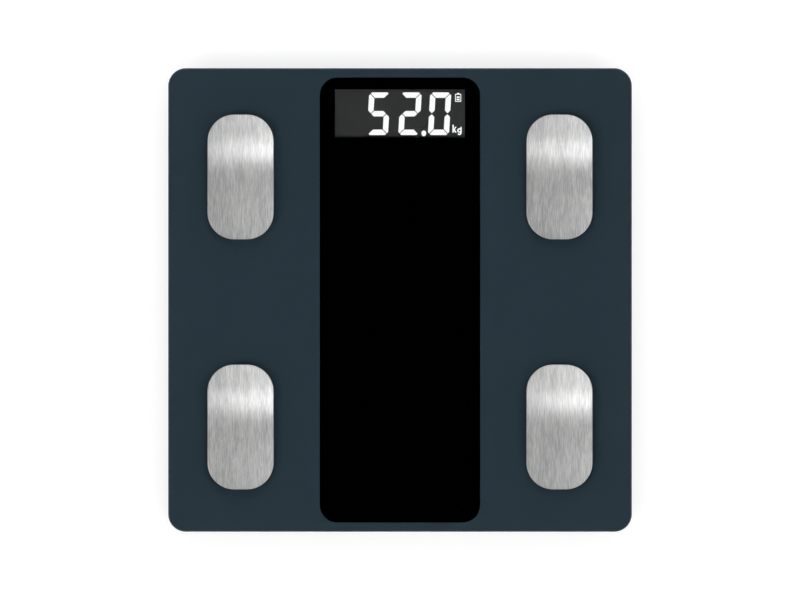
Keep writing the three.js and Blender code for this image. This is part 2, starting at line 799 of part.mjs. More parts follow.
function solderTag() {
  const [x, y] = [tagWidth / 2, tagHeight / 2];
  return block([-x, x], [-y, y], [-bayWall - bondGap - tagStandout, contactThickness]);
}

function positiveContact() {
  return union(contactPlate(0, 0), contactDome(), solderTag()).translate(-batteryPitch, 0, 0);
}

function negativeContact() {
  return union(contactPlate(0, 0), contactSpring(), solderTag()).translate(batteryPitch, 0, 0);
}

// One piece that joins the spring of one battery to the dome of the next.
function bridgeContact(springX, domeX) {
  const plate = contactPlate(Math.min(springX, domeX), Math.max(springX, domeX));
  return union(plate, contactSpring().translate(springX, 0, 0), contactDome().translate(domeX, 0, 0));
}

// ---------------------------------------------------------------- battery door

function doorHook() {
  const half = hookWidth / 2;
  return block([-half, half], [hookTipY, -doorLength / 2 + overlap], [hookZ, hookZ + hookThickness])
    .add(block([-half, half], [-doorLength / 2, -doorLength / 2 + hookThickness],
      [doorTopZ - overlap, hookZ + hookThickness]));
}

// A tongue between two slits, with a web for its snap and grooves for the finger.
function doorLatch() {
  const half = latchWidth / 2 - doorClearance;
  const end = doorLength / 2 + latchReach;
  const webHalf = latchWidth / 2 - margin;
  return union(
    block([-half, half], [doorLength / 2 - overlap, end], [footStandoff, doorTopZ]),
    block([-webHalf, webHalf], [latchWebY, latchWebY + latchWebThickness],
      [doorTopZ - overlap, doorTopZ + latchWebHeight]),
  );
}

function doorCuts() {
  const below = footStandoff - margin;
  const end = doorLength / 2;
  const outer = latchWidth / 2;
  const slits = [-1, 1].map((side) => block([side * outer, side * (outer - doorClearance)],
    [end - latchLength, end + margin], [below, doorTopZ + margin]));
  const gripHalf = outer - doorClearance - gripWidth;
  const grips = Array.from({ length: latchGrips }, (_, i) => {
    const y = end + latchReach - (i + 1) * latchReach;
    return block([-gripHalf, gripHalf], [y - gripWidth / 2, y + gripWidth / 2],
      [below, footStandoff + gripDepth]);
  });
  return union(...slits, ...grips);
}

function batteryDoor() {
  const plate = roundedSlab(doorWidth, doorLength, doorCornerRadius, [footStandoff, doorTopZ],
    bondGap * 3, bondGap * 4, 1, 2);
  return union(plate, doorLatch())
    .subtract(doorCuts())
    .add(doorHook().translate(-hookSpacing / 2, 0, 0))
    .add(doorHook().translate(hookSpacing / 2, 0, 0))
    .translate(0, bayCentreY, 0);
}

// ---------------------------------------------------------------- unit button and switch

function unitButton() {
  const bottom = footStandoff - buttonProud;
  const flangeZ0 = trayFloorZ + looseGap;
  const edge = buttonProud;
  return revolve([[0, bottom], [buttonRadius - edge, bottom], [buttonRadius, bottom + edge],
    [buttonRadius, flangeZ0], [buttonFlangeRadius, flangeZ0],
    [buttonFlangeRadius, flangeZ0 + buttonFlangeThickness],
    [plungerRadius, flangeZ0 + buttonFlangeThickness], [plungerRadius, plungerTipZ - bondGap],
    [0, plungerTipZ - bondGap]], 16)
    .translate(buttonX, partsY, 0);
}

function switchBody() {
  const bore = extrude(circle(plungerRadius + bondGap * 2), switchZ - margin,
    switchZ + plungerDepth + buttonTravel + bondGap, 1.5);
  return extrude(roundedRect(switchSide, switchSide, overlap), switchZ, boardZ, 1)
    .subtract(bore)
    .translate(buttonX, partsY, 0);
}

function switchPlunger() {
  return extrude(circle(plungerRadius), plungerTipZ, switchZ + plungerDepth, 1.5)
    .translate(buttonX, partsY, 0);
}

// ---------------------------------------------------------------- circuit board and display

function circuitBoard() {
  const hole = extrude(circle(screwRadius + looseGap), boardZ - margin, boardTopZ + margin, 1);
  return extrude(roundedRect(boardWidth, boardHeight, boardCornerRadius), boardZ, boardTopZ, 1)
    .translate(0, boardY, 0)
    .subtract(union(...screwPlaces().map(([x, y]) => hole.translate(x, y, 0))));
}

function boardScrew() {
  const shoulder = boardTopZ + screwHeadHeight / 2;
  return revolve([[0, boardTopZ - screwLength], [screwRadius, boardTopZ - screwLength],
    [screwRadius, boardTopZ], [screwHeadRadius, boardTopZ], [screwHeadRadius, shoulder],
    [screwHeadRadius - screwHeadHeight / 2, boardTopZ + screwHeadHeight],
    [0, boardTopZ + screwHeadHeight]], 8);
}

function controllerBlob() {
  return revolve([[0, boardTopZ], [blobRadius, boardTopZ], [blobRadius * 0.9, boardTopZ + blobHeight / 2],
    [blobRadius / 2, boardTopZ + blobHeight * 0.9], [0, boardTopZ + blobHeight]], 14)
    .translate(-buttonX, partsY, 0);
}

function backlightPanel() {
  return extrude(roundedRect(lcdWidth, lcdHeight, overlap), boardTopZ, lcdZ, 1).translate(0, windowY, 0);
}

// Front and rear glass; the rear one is longer, for the row of contacts.
function lcdPanel() {
  const rear = extrude(rectangle(lcdWidth, lcdHeight), lcdZ, lcdZ + lcdThickness / 2);
  const front = extrude(rectangle(lcdWidth, lcdHeight - lcdStep), lcdZ + lcdThickness / 4, lcdTopZ);
  return rear.add(front.translate(0, lcdStep / 2, 0)).translate(0, windowY, 0);
}

function displayFrame() {
  const ring = roundedRect(frameWidth, frameHeight, frameCornerRadius);
  ring.holes.push(rectangle(lcdWidth + 2 * looseGap, lcdHeight + 2 * looseGap));
  return extrude(ring, boardTopZ, lcdTopZ, 1).translate(0, windowY, 0);
}

function displayGasket() {
  const ring = rectangle(lcdWidth, lcdHeight);
  ring.holes.push(rectangle(windowWidth + 2 * gasketClearance, windowHeight + 2 * gasketClearance));
  return extrude(ring, lcdTopZ, lcdTopZ + gasketThickness).translate(0, windowY, 0);
}

// ---------------------------------------------------------------- leads

const coreFloorZ = trayFloorZ + leadFloorGap + coreRadius;
const bundleFloorZ = trayFloorZ + leadFloorGap + bundleRadius;

// The end of a lead: up past the board's edge, which it meets from outside, and down on its solder pad.
function overBoardEdge(edge, inwards, radius) {
  const pad = boardTopZ + radius + bondGap;
  return [
    [edge - inwards * 4, boardZ - 1], [edge - inwards * 2.2, boardTopZ],
    [edge - inwards * 0.4, pad + 0.9], [edge + inwards * 1.2, pad + 0.9], [edge + inwards * 3.4, pad],
  ];
}

function sideEnd(row, radius) {
  return overBoardEdge(boardWidth / 2, -1, radius).map(([x, z]) => [x, boardNearY + row, z]);
}

function nearEnd(x, radius) {
  return overBoardEdge(boardNearY, 1, radius).map(([y, z]) => [x, y, z]);
}

// Routes on the +X side. The other side's are their mirror images.
function cellRoute(corner) {
  const startX = footCentre - wellInner / 2 - looseGap;
  const y = corner.y * footCentre;
  const start = [[startX, y, tailZ], [startX - 3, y, tailZ]];
  if (corner.y > 0) {
    return [...start, [startX - 7, y - 0.5, tailZ - 2], [startX - 12, y - 1.5, bundleFloorZ + 0.5],
      [startX - 18, y - 3, bundleFloorZ], ...sideEnd(leadRows.cellToe, bundleRadius)];
  }
  const lane = boardWidth / 2 + leadLanes.cell;
  return [...start, [startX - 7, y + 0.5, tailZ - 2], [startX - 11, y + 1.5, bundleFloorZ + 0.5],
    [startX - 17, y + 5, bundleFloorZ], [lane + 2, y + 12, bundleFloorZ], [lane, y + 24, bundleFloorZ],
    [lane, bayCentreY, bundleFloorZ], [lane, boardNearY - 8, bundleFloorZ],
    [lane, boardNearY + 2, bundleFloorZ + 0.3], ...sideEnd(leadRows.cellHeel, bundleRadius)];
}

function electrodeRoute(corner) {
  const { x, y } = studPlace({ ...corner, x: 1 });
  const startZ = terminalZ + terminalThickness / 2 - coreRadius;
  const startX = x - terminalTongueLength;
  const start = [[startX + 1.5, y, startZ], [startX - 2, y, startZ], [startX - 6, y + 1.5, startZ - 4]];
  if (corner.y > 0) {
    const [side, row] = [boardWidth / 2, boardNearY + leadRows.electrodeToe];
    return [...start, [startX - 11, y + 6, coreFloorZ + 1.5], [startX - 16, y + 13, coreFloorZ],
      [side + 15.4, y + 22, coreFloorZ], [side + 10.4, row - 4, coreFloorZ + 0.5],
      ...sideEnd(leadRows.electrodeToe, coreRadius)];
  }
  const lane = boardWidth / 2 + leadLanes.electrode;
  return [...start, [startX - 12, y + 4, coreFloorZ + 1.5], [startX - 19, y + 8, coreFloorZ],
    [lane + 1, y + 14, coreFloorZ], [lane, y + 22, coreFloorZ], [lane, boardNearY - 40, coreFloorZ],
    [lane, boardNearY - 6, coreFloorZ], [lane - 1, boardNearY + 5, coreFloorZ + 0.3],
    ...sideEnd(leadRows.electrodeHeel, coreRadius)];
}

function positiveRoute() {
  const y = bayCentreY + bayLength / 2 + bayWall + tagStandout + looseGap;
  const x = -batteryPitch;
  return [[x, y, batteryZ], [x, y + 3, batteryZ - 0.3], [x, y + 8, batteryZ - 2.5],
    [x - 1, y + 14, coreFloorZ + 0.8], [x - 2, y + 22, coreFloorZ], [x - 2, boardNearY - 12, coreFloorZ],
    ...nearEnd(x - 2, coreRadius)];
}

function negativeRoute() {
  const y = bayCentreY - bayLength / 2 - bayWall - tagStandout - looseGap;
  const x = batteryPitch;
  const side = recessWidth / 2 + bayWall + leadNotchClearance + coreRadius;
  return [[x, y, batteryZ], [x + 0.6, y - 2.4, batteryZ - 0.2], [x + 4, y - 4.4, batteryZ - 0.8],
    [side - 5, y - 2, batteryZ - 1.4], [side - 1, y + 5, batteryZ - 2.8], [side, y + 13, coreFloorZ + 0.4],
    [side, y + 22, coreFloorZ], [side, bayCentreY + 20, coreFloorZ], [side, boardNearY - 22, coreFloorZ],
    [side - 3, boardNearY - 12, coreFloorZ], ...nearEnd(side - 8, coreRadius)];
}

function mirrored(route, corner) {
  return route.map(([x, y, z]) => [corner.x * x, y, z]);
}

function leadRoutes() {
  return [
    ...corners.map((corner) => mirrored(cellRoute(corner), corner)),
    ...corners.map((corner) => mirrored(electrodeRoute(corner), corner)),
    positiveRoute(),
    negativeRoute(),
  ];
}

function lead(route, radius) {
  return sweep(hexagon(radius), new Route(route), route.length - 1);
}

function cellLead(corner) {
  return lead(mirrored(cellRoute(corner), corner), bundleRadius);
}

// A ring terminal under the nut, with the lead crimped under its tongue.
function electrodeLead(corner) {
  const levels = [terminalZ, terminalZ + terminalThickness];
  const half = terminalTongueWidth / 2;
  const root = terminalRadius - overlap;
  const tongue = block([-corner.x * root, -corner.x * terminalTongueLength], [-half, half], levels);
  const { x, y } = studPlace(corner);
  const terminal = extrude(circle(terminalRadius), ...levels, 1.5)
    .add(tongue)
    .subtract(extrude(circle(studRadius + bondGap), terminalZ - margin, inkBottomZ, 1))
    .translate(x, y, 0);
  return terminal.add(lead(mirrored(electrodeRoute(corner), corner), coreRadius));
}

// ---------------------------------------------------------------- assembly

const scale = new THREE.Group();

function place(group, name, solid, finish) {
  const mesh = new THREE.Mesh(geometryOf(solid), finish);
  mesh.name = name;
  group.add(mesh);
  return mesh;
}

function addPlatform() {
  place(scale, 'glass_platform', glassPlatform(), materials.glass);
  place(scale, 'slate_ink', slateInk(), materials.slateInk);
  place(scale, 'black_ink', blackInk(), materials.blackInk);
  place(scale, 'glue_bead', glueBead(), materials.glue);
  place(scale, 'base_housing', baseHousing(), materials.blackPlastic);
}

function addElectrode(corner) {
  const pad = place(scale, `electrode_${corner.name}`, electrode(corner), materials.brushedSteel);
  pad.position.set(...electrodePlace(corner), 0);
  const nut = place(scale, `electrode_nut_${corner.name}`, hexNut(), materials.nickel);
  nut.position.set(...studPlace(corner), 0);
  place(scale, `electrode_lead_${corner.name}`, electrodeLead(corner), materials.leadSleeve);
}

function addFoot(corner) {
  const foot = new THREE.Group();
  foot.position.set(corner.x * footCentre, corner.y * footCentre, 0);
  foot.rotation.z = corner.x > 0 ? 0 : Math.PI;
  scale.add(foot);
  place(foot, `foot_pad_${corner.name}`, footPad(), materials.rubber);
  place(foot, `foot_cap_${corner.name}`, footCap(), materials.blackPlastic);
  place(foot, `load_cell_${corner.name}`, loadCell(), materials.stampedSteel);
  place(foot, `load_cell_bracket_${corner.name}`, cellBracket(), materials.whitePlastic);
  place(scale, `load_cell_lead_${corner.name}`, cellLead(corner), materials.leadSleeve);
}

// The batteries lie along Y, each turned end for end from its neighbour.
function addBatteries() {
  const bay = new THREE.Group();
  bay.position.set(0, bayCentreY, batteryZ);
  scale.add(bay);
  const negativeEndY = bayLength / 2 - contactAllowance - springLength;
  batteryDirections.forEach((direction, i) => {
    const cell = place(bay, `battery_${i + 1}`, battery(), materials.batterySleeve);
    const column = i - (batteryDirections.length - 1) / 2;
    cell.position.set(column * batteryPitch, -direction * negativeEndY, 0);
    cell.rotation.x = -direction * Math.PI / 2;
  });
  const contacts = [
    ['positive_contact', 1, positiveContact()],
    ['bridge_contact_far', 1, bridgeContact(0, batteryPitch)],
    ['bridge_contact_near', -1, bridgeContact(-batteryPitch, 0)],
    ['negative_contact', -1, negativeContact()],
  ];
  for (const [name, end, solid] of contacts) {
    const contact = place(bay, name, solid, materials.nickel);
    contact.position.y = end * (bayLength / 2 - bondGap);
    contact.rotation.x = end * Math.PI / 2;
  }
  place(scale, 'battery_door', batteryDoor(), materials.blackPlastic);
  place(scale, 'battery_lead_positive', lead(positiveRoute(), coreRadius), materials.leadSleeve);
  place(scale, 'battery_lead_negative', lead(negativeRoute(), coreRadius), materials.leadSleeve);
}

function addElectronics() {
  place(scale, 'circuit_board', circuitBoard(), materials.board);
  place(scale, 'controller_blob', controllerBlob(), materials.epoxy);
  place(scale, 'backlight_panel', backlightPanel(), materials.lightGuide);
  place(scale, 'lcd_panel', lcdPanel(), materials.lcd);
  place(scale, 'display_frame', displayFrame(), materials.blackPlastic);
  place(scale, 'display_gasket', displayGasket(), materials.foam);
  place(scale, 'switch_body', switchBody(), materials.blackPlastic);
  place(scale, 'switch_plunger', switchPlunger(), materials.whitePlastic);
  place(scale, 'unit_button', unitButton(), materials.whitePlastic);
  screwPlaces().forEach(([x, y], i) => {
    place(scale, `board_screw_${i + 1}`, boardScrew(), materials.nickel).position.set(x, y, 0);
  });
}

addPlatform();
corners.forEach(addElectrode);
corners.forEach(addFoot);
addBatteries();
addElectronics();

export default scale;
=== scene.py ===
# A digital bathroom scale: glass platform with ink on its back, brushed steel electrodes, a lit display
# and a moulded base on four floating feet. Metres, +Z up, +Y towards the display.

import json
import math

import bmesh
import bpy
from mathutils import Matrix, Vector

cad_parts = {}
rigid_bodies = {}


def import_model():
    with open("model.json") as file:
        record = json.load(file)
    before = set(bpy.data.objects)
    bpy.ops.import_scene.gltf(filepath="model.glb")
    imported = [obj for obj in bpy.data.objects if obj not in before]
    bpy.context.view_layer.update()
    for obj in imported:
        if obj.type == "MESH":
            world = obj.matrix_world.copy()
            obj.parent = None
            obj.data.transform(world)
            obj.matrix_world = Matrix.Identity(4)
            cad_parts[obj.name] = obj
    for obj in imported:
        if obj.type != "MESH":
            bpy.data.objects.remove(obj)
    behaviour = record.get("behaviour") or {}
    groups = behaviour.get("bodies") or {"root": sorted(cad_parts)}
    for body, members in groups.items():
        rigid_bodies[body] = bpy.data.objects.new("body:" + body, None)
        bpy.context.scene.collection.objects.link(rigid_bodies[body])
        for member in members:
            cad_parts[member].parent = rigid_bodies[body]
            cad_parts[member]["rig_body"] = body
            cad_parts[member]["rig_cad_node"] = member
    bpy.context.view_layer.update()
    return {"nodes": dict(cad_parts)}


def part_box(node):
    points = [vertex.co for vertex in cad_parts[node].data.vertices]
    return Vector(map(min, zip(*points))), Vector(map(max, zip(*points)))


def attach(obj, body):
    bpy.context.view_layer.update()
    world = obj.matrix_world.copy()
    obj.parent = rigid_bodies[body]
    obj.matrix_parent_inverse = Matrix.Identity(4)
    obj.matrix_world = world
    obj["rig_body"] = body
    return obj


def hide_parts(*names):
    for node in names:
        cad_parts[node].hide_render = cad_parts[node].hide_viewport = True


MM = 0.001

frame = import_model()

CORNERS = ("toe_left", "toe_right", "heel_left", "heel_right")

# Driving sizes of the fine surfaces, in millimetres, where the frame doesn't say them
PLATE_CORNER = 10
PLATE_EDGE = 0.8          # round of the glass's upper edge
INK_INSET = 0.5           # from the plate's side to the edge of the ink, and round of the lower edge
PANEL_WIDTH = 90
PANEL_END_MARGIN = 5.2
PANEL_CORNER = 10
WINDOW_WIDTH = 73
WINDOW_HEIGHT = 27
ELECTRODE_CORNER = 15
ELECTRODE_THICKNESS = 0.4
ELECTRODE_EDGE = 0.35
STUD_RADIUS = 1.5
STUD_HOLE_RADIUS = 2.5
TRAY_CORNER = 13
TRAY_WALL = 2
GLUE_WIDTH = 1.4
CORNER_STEPS = 24         # of the round corners that show from above


# ---------------------------------------------------------------- camera

VIEW_WIDTH = 0.4485
CAMERA_HEIGHT = 1.2


def add_camera():
    """Straight above the middle of the scale, without perspective."""
    bpy.ops.object.camera_add(location=(0, 0, CAMERA_HEIGHT), rotation=(0, 0, 0))
    camera = bpy.context.object
    camera.data.type = "ORTHO"
    camera.data.ortho_scale = VIEW_WIDTH
    bpy.context.scene.camera = camera


add_camera()


# ---------------------------------------------------------------- material nodes

def linear(colour):
    """An sRGB hex colour as linear RGBA."""
    parts = [int(colour[i:i + 2], 16) / 255 for i in (1, 3, 5)]
    return [*[c / 12.92 if c <= 0.04045 else ((c + 0.055) / 1.055) ** 2.4 for c in parts], 1]


def add_node(tree, kind, settings=None, inputs=None):
    """A node with its settings. An input is a value, or the output socket that it is linked to."""
    node = tree.nodes.new(kind)
    for name, value in (settings or {}).items():
        setattr(node, name, value)
    for name, value in (inputs or {}).items():
        if isinstance(value, bpy.types.NodeSocket):
            tree.links.new(value, node.inputs[name])
        else:
            node.inputs[name].default_value = value
    return node


def start_material(name):
    material = bpy.data.materials.new(name)
    material.use_nodes = True
    tree = material.node_tree
    tree.nodes.clear()
    return material, tree


def finish_material(tree, shader):
    add_node(tree, "ShaderNodeOutputMaterial", inputs={"Surface": shader})


def piece_coordinates(tree, scale=(1, 1, 1)):
    """Object coordinates, in metres, stretched by scale."""
    place = add_node(tree, "ShaderNodeTexCoord")
    return add_node(tree, "ShaderNodeMapping", inputs={
        "Vector": place.outputs["Object"], "Scale": scale}).outputs["Vector"]


def colour_range(tree, factor, stops, blend="LINEAR"):
    """A colour ramp through (position, hex colour) stops."""
    ramp = add_node(tree, "ShaderNodeValToRGB", inputs={"Fac": factor})
    ramp.color_ramp.interpolation = blend
    elements = ramp.color_ramp.elements
    while len(elements) < len(stops):
        elements.new(0.5)
    for element, (position, colour) in zip(elements, stops):
        element.position = position
        element.color = linear(colour)
    return ramp.outputs["Color"]


def number_range(tree, value, low, high):
    """Turns 0 to 1 into low to high."""
    return add_node(tree, "ShaderNodeMapRange", inputs={
        "Value": value, "To Min": low, "To Max": high}).outputs["Result"]


# ---------------------------------------------------------------- materials

def tempered_glass():
    """Clear tempered soda-lime glass: a hard mirror gloss, and a faint green in the depth of its edge."""
    material, tree = start_material("tempered_soda_lime_glass")
    surface = add_node(tree, "ShaderNodeNewGeometry")
    facing = add_node(tree, "ShaderNodeSeparateXYZ", inputs={"Vector": surface.outputs["Normal"]})
    level = add_node(tree, "ShaderNodeMath", {"operation": "ABSOLUTE"}, {0: facing.outputs["Z"]})
    tint = colour_range(tree, level.outputs[0], [(0.2, "#C4E2D5"), (0.8, "#FAFCFB")])
    glass = add_node(tree, "ShaderNodeBsdfPrincipled", inputs={
        "Base Color": tint, "Roughness": 0.0, "IOR": 1.52, "Transmission Weight": 1.0})
    # Lamps reach straight through to the ink on its back.
    clear = add_node(tree, "ShaderNodeBsdfTransparent", inputs={"Color": linear("#FAFCFB")})
    path = add_node(tree, "ShaderNodeLightPath")
    finish_material(tree, add_node(tree, "ShaderNodeMixShader", inputs={
        "Fac": path.outputs["Is Shadow Ray"], 1: glass.outputs[0], 2: clear.outputs[0]}).outputs[0])
    return material


def screen_ink(name, colour, mottled):
    """Screen-printed ceramic ink, seen through the glass: flat, matt and even, with a trace of mottle."""
    material, tree = start_material(name)
    # Mesh mottle of about 0.4 mm is drawn 3 mm wide so that it shows.
    mottle = add_node(tree, "ShaderNodeTexNoise", inputs={
        "Vector": piece_coordinates(tree), "Scale": 330.0, "Detail": 3.0})
    ink = add_node(tree, "ShaderNodeBsdfPrincipled", inputs={
        "Base Color": colour_range(tree, mottle.outputs["Fac"], [(0.3, colour), (0.7, mottled)]),
        "Roughness": 0.55, "Specular IOR Level": 0.0})
    finish_material(tree, ink.outputs[0])
    return material


def brushed_steel():
    """Stainless steel sheet, belt-brushed along its length: fine grain lines that drag each light
    sideways into a band."""
    material, tree = start_material("brushed_stainless_steel")
    # A 180-grit belt leaves lines of about 0.1 mm; they are drawn 0.4 mm wide and 7 mm long, over
    # broader ones of 3 mm.
    fine = add_node(tree, "ShaderNodeTexNoise", inputs={
        "Vector": piece_coordinates(tree, (2600, 150, 150)), "Scale": 1.0, "Detail": 4.0, "Roughness": 0.7})
    broad = add_node(tree, "ShaderNodeTexNoise", inputs={
        "Vector": piece_coordinates(tree, (300, 30, 30)), "Scale": 1.0, "Detail": 2.0})
    grain = add_node(tree, "ShaderNodeMix", {"data_type": "FLOAT"}, {
        0: 0.2, 2: fine.outputs["Fac"], 3: broad.outputs["Fac"]}).outputs[0]
    tint = colour_range(tree, grain, [(0.35, "#B1B3B5"), (0.5, "#CFCFCF"), (0.65, "#EDEBE8")])
    bump = add_node(tree, "ShaderNodeBump", inputs={
        "Strength": 0.25, "Distance": 0.00002, "Height": grain})
    tangent = add_node(tree, "ShaderNodeTangent", {"direction_type": "UV_MAP", "uv_map": "grain"})
    steel = add_node(tree, "ShaderNodeBsdfPrincipled", inputs={
        "Base Color": tint, "Metallic": 1.0, "Roughness": number_range(tree, grain, 0.30, 0.38),
        "Anisotropic": 0.9, "Tangent": tangent.outputs[0], "Normal": bump.outputs[0]})
    finish_material(tree, steel.outputs[0])
    return material


def textured_plastic(name, colour, worn, grain_mm=0.5, roughness=0.5, depth_mm=0.03):
    """Injection-moulded plastic from a spark-eroded tool: an even, fine-pored matt skin."""
    material, tree = start_material(name)
    # The pores of such a skin are 0.1 to 0.3 mm across; they are drawn grain_mm wide so that they show.
    pores = add_node(tree, "ShaderNodeTexNoise", inputs={
        "Vector": piece_coordinates(tree), "Scale": 1000 / grain_mm, "Detail": 2.0})
    patches = add_node(tree, "ShaderNodeTexNoise", inputs={
        "Vector": piece_coordinates(tree), "Scale": 28.0, "Detail": 3.0})
    bump = add_node(tree, "ShaderNodeBump", inputs={
        "Strength": 0.5, "Distance": depth_mm * MM, "Height": pores.outputs["Fac"]})
    plastic = add_node(tree, "ShaderNodeBsdfPrincipled", inputs={
        "Base Color": colour_range(tree, patches.outputs["Fac"], [(0.3, colour), (0.75, worn)]),
        "Roughness": number_range(tree, pores.outputs["Fac"], roughness - 0.07, roughness + 0.09),
        "IOR": 1.54, "Normal": bump.outputs[0]})
    finish_material(tree, plastic.outputs[0])
    return material


def plated_metal(name, light, dark, roughness, grain_mm=4):
    """Plated sheet metal: a soft sheen with faint clouds where the plating took unevenly."""
    material, tree = start_material(name)
    clouds = add_node(tree, "ShaderNodeTexNoise", inputs={
        "Vector": piece_coordinates(tree), "Scale": 1000 / grain_mm, "Detail": 4.0})
    metal = add_node(tree, "ShaderNodeBsdfPrincipled", inputs={
        "Base Color": colour_range(tree, clouds.outputs["Fac"], [(0.3, dark), (0.7, light)]),
        "Metallic": 1.0,
        "Roughness": number_range(tree, clouds.outputs["Fac"], roughness - 0.06, roughness + 0.08)})
    finish_material(tree, metal.outputs[0])
    return material


def dry_rubber(name, colour, dusty):
    """Moulded TPE rubber: dull and soft-edged, greyer where it has picked up dust."""
    material, tree = start_material(name)
    # Mould grain of about 0.2 mm is drawn 0.6 mm wide so that it shows.
    grain = add_node(tree, "ShaderNodeTexNoise", inputs={
        "Vector": piece_coordinates(tree), "Scale": 1700.0, "Detail": 2.0})
    dust = add_node(tree, "ShaderNodeTexNoise", inputs={
        "Vector": piece_coordinates(tree), "Scale": 160.0, "Detail": 4.0})
    bump = add_node(tree, "ShaderNodeBump", inputs={
        "Strength": 0.4, "Distance": 0.00004, "Height": grain.outputs["Fac"]})
    rubber = add_node(tree, "ShaderNodeBsdfPrincipled", inputs={
        "Base Color": colour_range(tree, dust.outputs["Fac"], [(0.4, colour), (0.75, dusty)]),
        "Roughness": number_range(tree, dust.outputs["Fac"], 0.72, 0.92), "IOR": 1.5,
        "Normal": bump.outputs[0]})
    finish_material(tree, rubber.outputs[0])
    return material


def silicone_glue():
    """Black-pigmented silicone bead: nearly black, faintly uneven, with a wet skin."""
    material, tree = start_material("silicone_glue")
    swell = add_node(tree, "ShaderNodeTexNoise", inputs={
        "Vector": piece_coordinates(tree), "Scale": 120.0, "Detail": 2.0})
    bump = add_node(tree, "ShaderNodeBump", inputs={
        "Strength": 0.5, "Distance": 0.0001, "Height": swell.outputs["Fac"]})
    glue = add_node(tree, "ShaderNodeBsdfPrincipled", inputs={
        "Base Color": colour_range(tree, swell.outputs["Fac"], [(0.3, "#1B1D1F"), (0.7, "#26292B")]),
        "Roughness": 0.4, "IOR": 1.41, "Normal": bump.outputs[0]})
    finish_material(tree, glue.outputs[0])
    return material


def battery_sleeve(low_y, high_y):
    """Printed shrink sleeve on a nickel-plated can, from low_y to high_y: a glossy two-tone wrap
    between bare metal ends."""
    material, tree = start_material("printed_battery_sleeve")
    place = add_node(tree, "ShaderNodeSeparateXYZ", inputs={"Vector": piece_coordinates(tree)})
    along = add_node(tree, "ShaderNodeMapRange", inputs={
        "Value": place.outputs["Y"], "From Min": low_y, "From Max": high_y}).outputs["Result"]
    crinkle = add_node(tree, "ShaderNodeTexNoise", inputs={
        "Vector": piece_coordinates(tree, (900, 250, 900)), "Scale": 1.0, "Detail": 3.0})
    wrap = colour_range(tree, along, [(0.0, "#2C5F8E"), (0.3, "#D9DCDD"), (0.33, "#24425F")], "CONSTANT")
    sleeve = add_node(tree, "ShaderNodeBsdfPrincipled", inputs={
        "Base Color": wrap, "Roughness": number_range(tree, crinkle.outputs["Fac"], 0.22, 0.36), "IOR": 1.53})
    finish_material(tree, sleeve.outputs[0])
    return material


def circuit_laminate():
    """Glass-epoxy board under green solder mask: satin, with the copper tracks showing lighter through it."""
    material, tree = start_material("solder_masked_laminate")
    # Glass cloth of about 0.5 mm pitch.
    weave = add_node(tree, "ShaderNodeTexWave", {"wave_type": "BANDS", "bands_direction": "X"}, {
        "Vector": piece_coordinates(tree), "Scale": 320.0, "Distortion": 0.6, "Detail": 1.0})
    cross = add_node(tree, "ShaderNodeTexWave", {"wave_type": "BANDS", "bands_direction": "Y"}, {
        "Vector": piece_coordinates(tree), "Scale": 320.0, "Distortion": 0.6, "Detail": 1.0})
    cloth = add_node(tree, "ShaderNodeMix", {"data_type": "FLOAT"}, {
        0: 0.5, 2: weave.outputs["Fac"], 3: cross.outputs["Fac"]}).outputs[0]
    # Copper tracks 0.5 mm wide at 1 mm pitch, turning corners square around the parts, 13 mm apart, that
    # they serve.
    parts_per_metre = 75.0
    track_width = 0.5 * MM * parts_per_metre
    reach = add_node(tree, "ShaderNodeTexVoronoi", {"distance": "CHEBYCHEV"}, {
        "Vector": piece_coordinates(tree), "Scale": parts_per_metre})
    track = add_node(tree, "ShaderNodeMath", {"operation": "PINGPONG"}, {
        0: reach.outputs["Distance"], 1: track_width})
    copper = colour_range(tree, number_range(tree, track.outputs[0], 0.0, 1 / track_width), [
        (0.46, "#14503A"), (0.54, "#2A7E54")])
    bump = add_node(tree, "ShaderNodeBump", inputs={"Strength": 0.2, "Distance": 0.00002, "Height": cloth})
    board = add_node(tree, "ShaderNodeBsdfPrincipled", inputs={
        "Base Color": copper, "Roughness": number_range(tree, cloth, 0.34, 0.46),
        "IOR": 1.55, "Normal": bump.outputs[0]})
    finish_material(tree, board.outputs[0])
    return material


def polariser_glass():
    """Front of a negative liquid-crystal display: a dark grey polariser film, dead flat and even."""
    material, tree = start_material("lcd_polariser")
    haze = add_node(tree, "ShaderNodeTexNoise", inputs={
        "Vector": piece_coordinates(tree), "Scale": 220.0, "Detail": 3.0})
    film = add_node(tree, "ShaderNodeBsdfPrincipled", inputs={
        "Base Color": colour_range(tree, haze.outputs["Fac"], [(0.3, "#363636"), (0.7, "#383838")]),
        "Roughness": 0.5, "Specular IOR Level": 0.0})
    finish_material(tree, film.outputs[0])
    return material


def lit_segment():
    """Backlit segment of the display: plain white light with no shading of its own."""
    material, tree = start_material("backlit_segment")
    glow = add_node(tree, "ShaderNodeEmission", inputs={"Color": linear("#FFFFFF"), "Strength": 1.1})
    finish_material(tree, glow.outputs[0])
    return material


def soft_foam():
    """Closed-cell polyurethane foam: black, dull, with open pores at its cut edge."""
    material, tree = start_material("polyurethane_foam")
    # Cells of about 0.2 mm are drawn 0.45 mm wide so that they show.
    cells = add_node(tree, "ShaderNodeTexVoronoi", inputs={
        "Vector": piece_coordinates(tree), "Scale": 2200.0})
    bump = add_node(tree, "ShaderNodeBump", inputs={
        "Strength": 0.7, "Distance": 0.0001, "Height": cells.outputs["Distance"]})
    foam = add_node(tree, "ShaderNodeBsdfPrincipled", inputs={
        "Base Color": colour_range(tree, cells.outputs["Distance"], [(0.1, "#0B0B0C"), (0.7, "#1A1A1B")]),
        "Roughness": 0.95, "Normal": bump.outputs[0]})
    finish_material(tree, foam.outputs[0])
    return material


